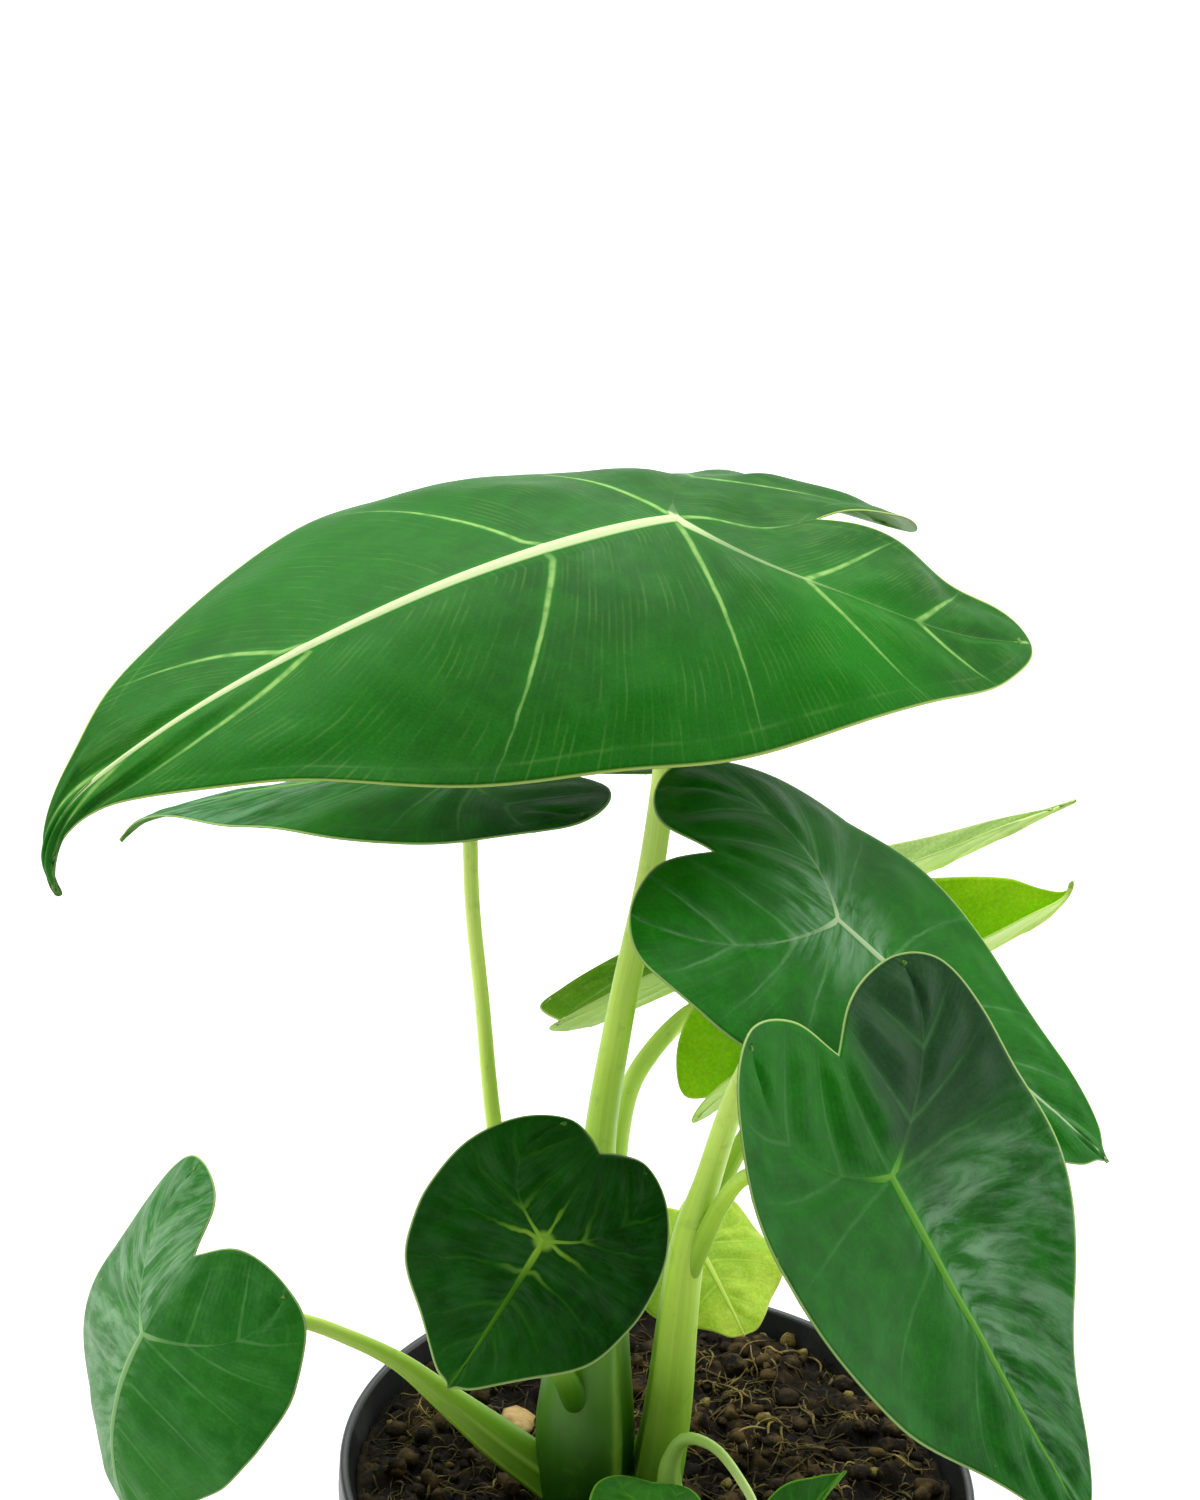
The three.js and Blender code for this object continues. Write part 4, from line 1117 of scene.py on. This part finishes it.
# Pale lumps and the chip of wood: x, y and size
NODULES = [
    (27.8, 55.2, 3.0), (22.3, 25.6, 2.3), (9.5, 30.8, 2.0), (30.6, 51.9, 2.2), (25.3, 4.0, 2.2),
    (14.6, 4.2, 1.9), (-56.1, 14.6, 1.2), (-42.9, 4.6, 1.3), (40.5, 37.0, 2.0), (36.9, 19.1, 1.7),
    (45.1, 11.7, 1.8), (-48.6, -1.2, 1.1), (18.0, 44.6, 1.6), (6.0, 46.5, 1.3), (-40.2, 25.5, 1.0),
    (51.7, 21.1, 1.4),
]
CHIP = (-29.1, 16.7, 4.2)


def soil_height(x, y):
    """Lumpy surface: broad swells, then clods, then crumbs."""
    lumps = np.sin(x * 0.19 + 1.3) * np.cos(y * 0.17 - 0.6) + 0.7 * np.sin(x * 0.43 - y * 0.37)
    clods = rough_noise(x / 7, y / 7, 61, 3)
    crumbs = rough_noise(x / 1.7, y / 1.7, 71, 3)
    radius = np.hypot(x, y)
    edge = np.clip((wall_radius(SOIL_TOP) - WALL - radius) / 6, 0, 1)
    height = 0.8 * lumps * edge + 1.7 * clods * (0.3 + 0.7 * edge) + 1.1 * crumbs
    return SOIL_TOP - 0.9 + np.minimum(height, 3.0)


def build_soil(material):
    reach = wall_radius(SOIL_TOP) - WALL - 0.1
    rings = []
    for r in (0.05, *(reach * i / SOIL_RINGS for i in range(1, SOIL_RINGS + 1))):
        ring = circle(0, 0, r, 0, SOIL_SEGMENTS)
        ring[:, 2] = soil_height(ring[:, 0], ring[:, 1])
        rings.append(ring)
    for z in (SOIL_TOP - 5, 60, FLOOR + GAP):
        rings.append(circle(0, 0, wall_radius(z) - WALL - GAP, z, SOIL_SEGMENTS))
    points, faces = skin(rings, downward=True)
    mesh_piece("soil_bed", points, faces, material, ["soil"])


def on_soil(random, clear):
    """Random place on the soil, clear of the crown and the wall."""
    while True:
        r = (wall_radius(SOIL_TOP) - WALL - clear) * math.sqrt(random.random())
        a = random.random() * 2 * math.pi
        x, y = r * math.cos(a), r * math.sin(a)
        if math.hypot(x - CROWN["x"], y - CROWN["y"]) > CROWN["radius"] * 0.9:
            return x, y


def thread(points, radius):
    """Thin closed tube through a few points, thickest in the middle."""
    line = spline(points, 3)
    forward = directions(line)
    angle = np.arange(THREAD_SIDES) * 2 * math.pi / THREAD_SIDES
    rings = []
    for i, (normal, second) in enumerate(across_line(forward, np.cross(forward[0], [0.3, 0.5, 0.8]))):
        thick = radius * (0.45 + 0.55 * math.sin(math.pi * (i + 0.5) / len(line)))
        rings.append(line[i] + thick * (np.outer(np.cos(angle), normal) + np.outer(np.sin(angle), second)))
    return skin(rings)


def fibre(random):
    x, y = on_soil(random, 4)
    heading = random.random() * 2 * math.pi
    length = 3 + 11 * random.random() ** 2
    points = []
    for share in (0, 0.33, 0.66, 1):
        heading += (random.random() - 0.5) * 1.7
        x += math.cos(heading) * length / 3
        y += math.sin(heading) * length / 3
        limit = (wall_radius(SOIL_TOP) - WALL - 1.5) / max(1.0, math.hypot(x, y))
        x, y = x * min(1, limit), y * min(1, limit)
        rise = 0.25 + 1.1 * math.sin(math.pi * share) * random.random()
        points.append((x, y, soil_height(x, y) + rise))
    return thread(points, 0.12 + 0.26 * random.random() ** 2.5)


def crumb(random):
    """Irregular crumb at a random place, part sunk in the soil."""
    size = CRUMB_LEAST + CRUMB_RANGE * random.random() ** 2
    x, y = on_soil(random, size + 1.5)
    return rock((x, y, soil_height(x, y) + size * 0.25), size, 0.75, random)


def rock(place, size, flatness, random):
    """Irregular pebble, made of rings between two poles."""
    rows, columns = 6, 9
    stretch = [0.75 + 0.5 * random.random(), 0.75 + 0.5 * random.random(), flatness]
    offset = random.random() * 50
    turn = random.random() * math.pi
    points = [(0, 0, 1)]
    for i in range(1, rows):
        polar = math.pi * i / rows
        for k in range(columns):
            a = 2 * math.pi * k / columns
            points.append((math.sin(polar) * math.cos(a), math.sin(polar) * math.sin(a), math.cos(polar)))
    points.append((0, 0, -1))
    points = np.array(points)
    bumpy = 1 + 0.3 * rough_noise(points[:, 0] * 1.6 + offset, points[:, 1] * 1.6 + points[:, 2] * 1.3, 5, 2)
    points = points * bumpy[:, None] * np.array(stretch) * size
    turned = np.array([[math.cos(turn), -math.sin(turn), 0], [math.sin(turn), math.cos(turn), 0], [0, 0, 1]])
    points = points @ turned.T + np.array(place)
    faces = [(0, 1 + k, 1 + (k + 1) % columns) for k in range(columns)]
    for i in range(rows - 2):
        for k in range(columns):
            a, b = 1 + i * columns + k, 1 + i * columns + (k + 1) % columns
            faces.append((a, a + columns, b + columns, b))
    last, start = len(points) - 1, 1 + (rows - 2) * columns
    faces += [(last, start + (k + 1) % columns, start + k) for k in range(columns)]
    return points, faces


def nodule(x, y, size, random):
    """One of the larger pale lumps, at its own place."""
    return rock((x, y, soil_height(x, y) + size * 0.35), size, 0.8, random)


def build_litter():
    """Fibres, crumbs, pale lumps and a flat chip of wood on the soil."""
    random = Random(12)
    sets = {
        "soil_fibres": ([fibre(random) for _ in range(FIBRES)],
                        soil_material("fibres", tone(50, 44, 22), tone(138, 122, 68), 90.0)),
        "soil_crumbs": ([crumb(random) for _ in range(CRUMBS)],
                        soil_material("crumbs", tone(14, 11, 6), tone(84, 68, 36), 160.0)),
        "soil_grains": ([nodule(x, y, 0.75 * size, random) for x, y, size in NODULES],
                        soil_material("grains", tone(84, 72, 32), tone(160, 146, 80), 260.0)),
        "soil_chip": ([rock((CHIP[0], CHIP[1], SOIL_TOP + 1.2), CHIP[2], 0.3, random)],
                      soil_material("chip", tone(150, 122, 74), tone(196, 168, 116), 120.0)),
    }
    for name, (parts, material) in sets.items():
        points, faces = gather(parts)
        mesh_piece(name, points, faces, material)


# Camera, light and floor, the lights and the floor in metres

FLOOR_HALF = 4.0


def build_camera():
    pitch, roll = math.radians(CAMERA_PITCH), math.radians(CAMERA_ROLL)
    forward = Vector((0, math.cos(pitch), -math.sin(pitch)))
    level = Vector((1, 0, 0))
    rise = Vector((0, math.sin(pitch), math.cos(pitch)))
    right = level * math.cos(roll) + rise * math.sin(roll)
    up = rise * math.cos(roll) - level * math.sin(roll)
    data = bpy.data.cameras.new("camera")
    data.lens = CAMERA_LENS
    data.sensor_fit = "AUTO"
    data.sensor_width = 36
    data.clip_start, data.clip_end = 0.05, 20
    camera = put_in_scene("camera", data)
    turned = Matrix((right, up, -forward)).transposed().to_4x4()
    camera.matrix_world = Matrix.Translation(Vector(CAMERA_PLACE) * MM) @ turned
    bpy.context.scene.camera = camera


def area_light(name, place, target, size, power):
    data = bpy.data.lights.new(name, "AREA")
    data.shape = "RECTANGLE"
    data.size, data.size_y = size
    data.energy = power
    light = put_in_scene(name, data)
    light.location = place
    direction = Vector(target) - Vector(place)
    light.rotation_euler = direction.to_track_quat("-Z", "Y").to_euler()


def build_world():
    """Bright studio behind and above the plant, dim on the side that it is seen from."""
    world = bpy.data.worlds.new("world")
    world.use_nodes = True
    tree = world.node_tree
    place = tree.nodes.new("ShaderNodeTexCoord")
    parts = tree.nodes.new("ShaderNodeSeparateXYZ")
    share = tree.nodes.new("ShaderNodeMapRange")
    for key, value in {"From Min": -0.5, "From Max": 0.5, "To Min": 0.4, "To Max": 0.7}.items():
        share.inputs[key].default_value = value
    tree.links.new(place.outputs["Generated"], parts.inputs["Vector"])
    tree.links.new(parts.outputs["Y"], share.inputs["Value"])
    tree.links.new(share.outputs["Result"], tree.nodes["Background"].inputs["Strength"])
    tree.nodes["Background"].inputs["Color"].default_value = (1, 1, 1, 1)
    bpy.context.scene.world = world


def build_studio():
    build_world()
    area_light("overhead", (-0.3, 1.3, 2.2), (-0.3, 1.1, 0), (3.4, 2.8), 110)
    area_light("left", (-1.6, -0.1, 0.9), (0, 0, 0.2), (1.0, 1.4), 14)
    area_light("right", (1.6, 0.3, 0.9), (0, 0, 0.2), (1.0, 1.4), 12)
    corners = [(x * FLOOR_HALF, y * FLOOR_HALF, 0) for x, y in ((-1, -1), (1, -1), (1, 1), (-1, 1))]
    mesh = bpy.data.meshes.new("floor")
    mesh.from_pydata(corners, [], [(0, 1, 2, 3)])
    mesh.materials.append(floor_material())
    floor = put_in_scene("floor", mesh)
    bpy.context.scene.view_settings.view_transform = "Standard"


def build_leaves():
    """Every blade, with one material for each look."""
    materials = {}
    for name in LEAVES:
        leaf = leaf_named(name)
        key = leaf.look
        look = SimpleNamespace(**{**LOOK_DEFAULTS, **LOOKS[key]})
        if key not in materials:
            materials[key] = leaf_material(key, look)
        build_leaf(name, leaf, look, materials[key])


build_camera()
build_studio()
build_leaves()
green = stalk_material("stalk_green", tone(28, 78, 1), tone(86, 144, 16), tone(178, 214, 70),
                       tone(216, 238, 122))
offset_green = stalk_material("stalk_pale", tone(110, 156, 50), tone(170, 204, 96), tone(196, 220, 130),
                              tone(206, 228, 150))
build_stalks("stalk_clump", CROWN, STALKS, green, ["stalks"])
build_stalks("offset_clump", OFFSET, OFFSET_STALKS, offset_green, ["offset_stalks"])
build_pot(pot_material())
build_soil(soil_material("soil", tone(9, 7, 4), tone(70, 56, 30), 120.0))
build_litter()
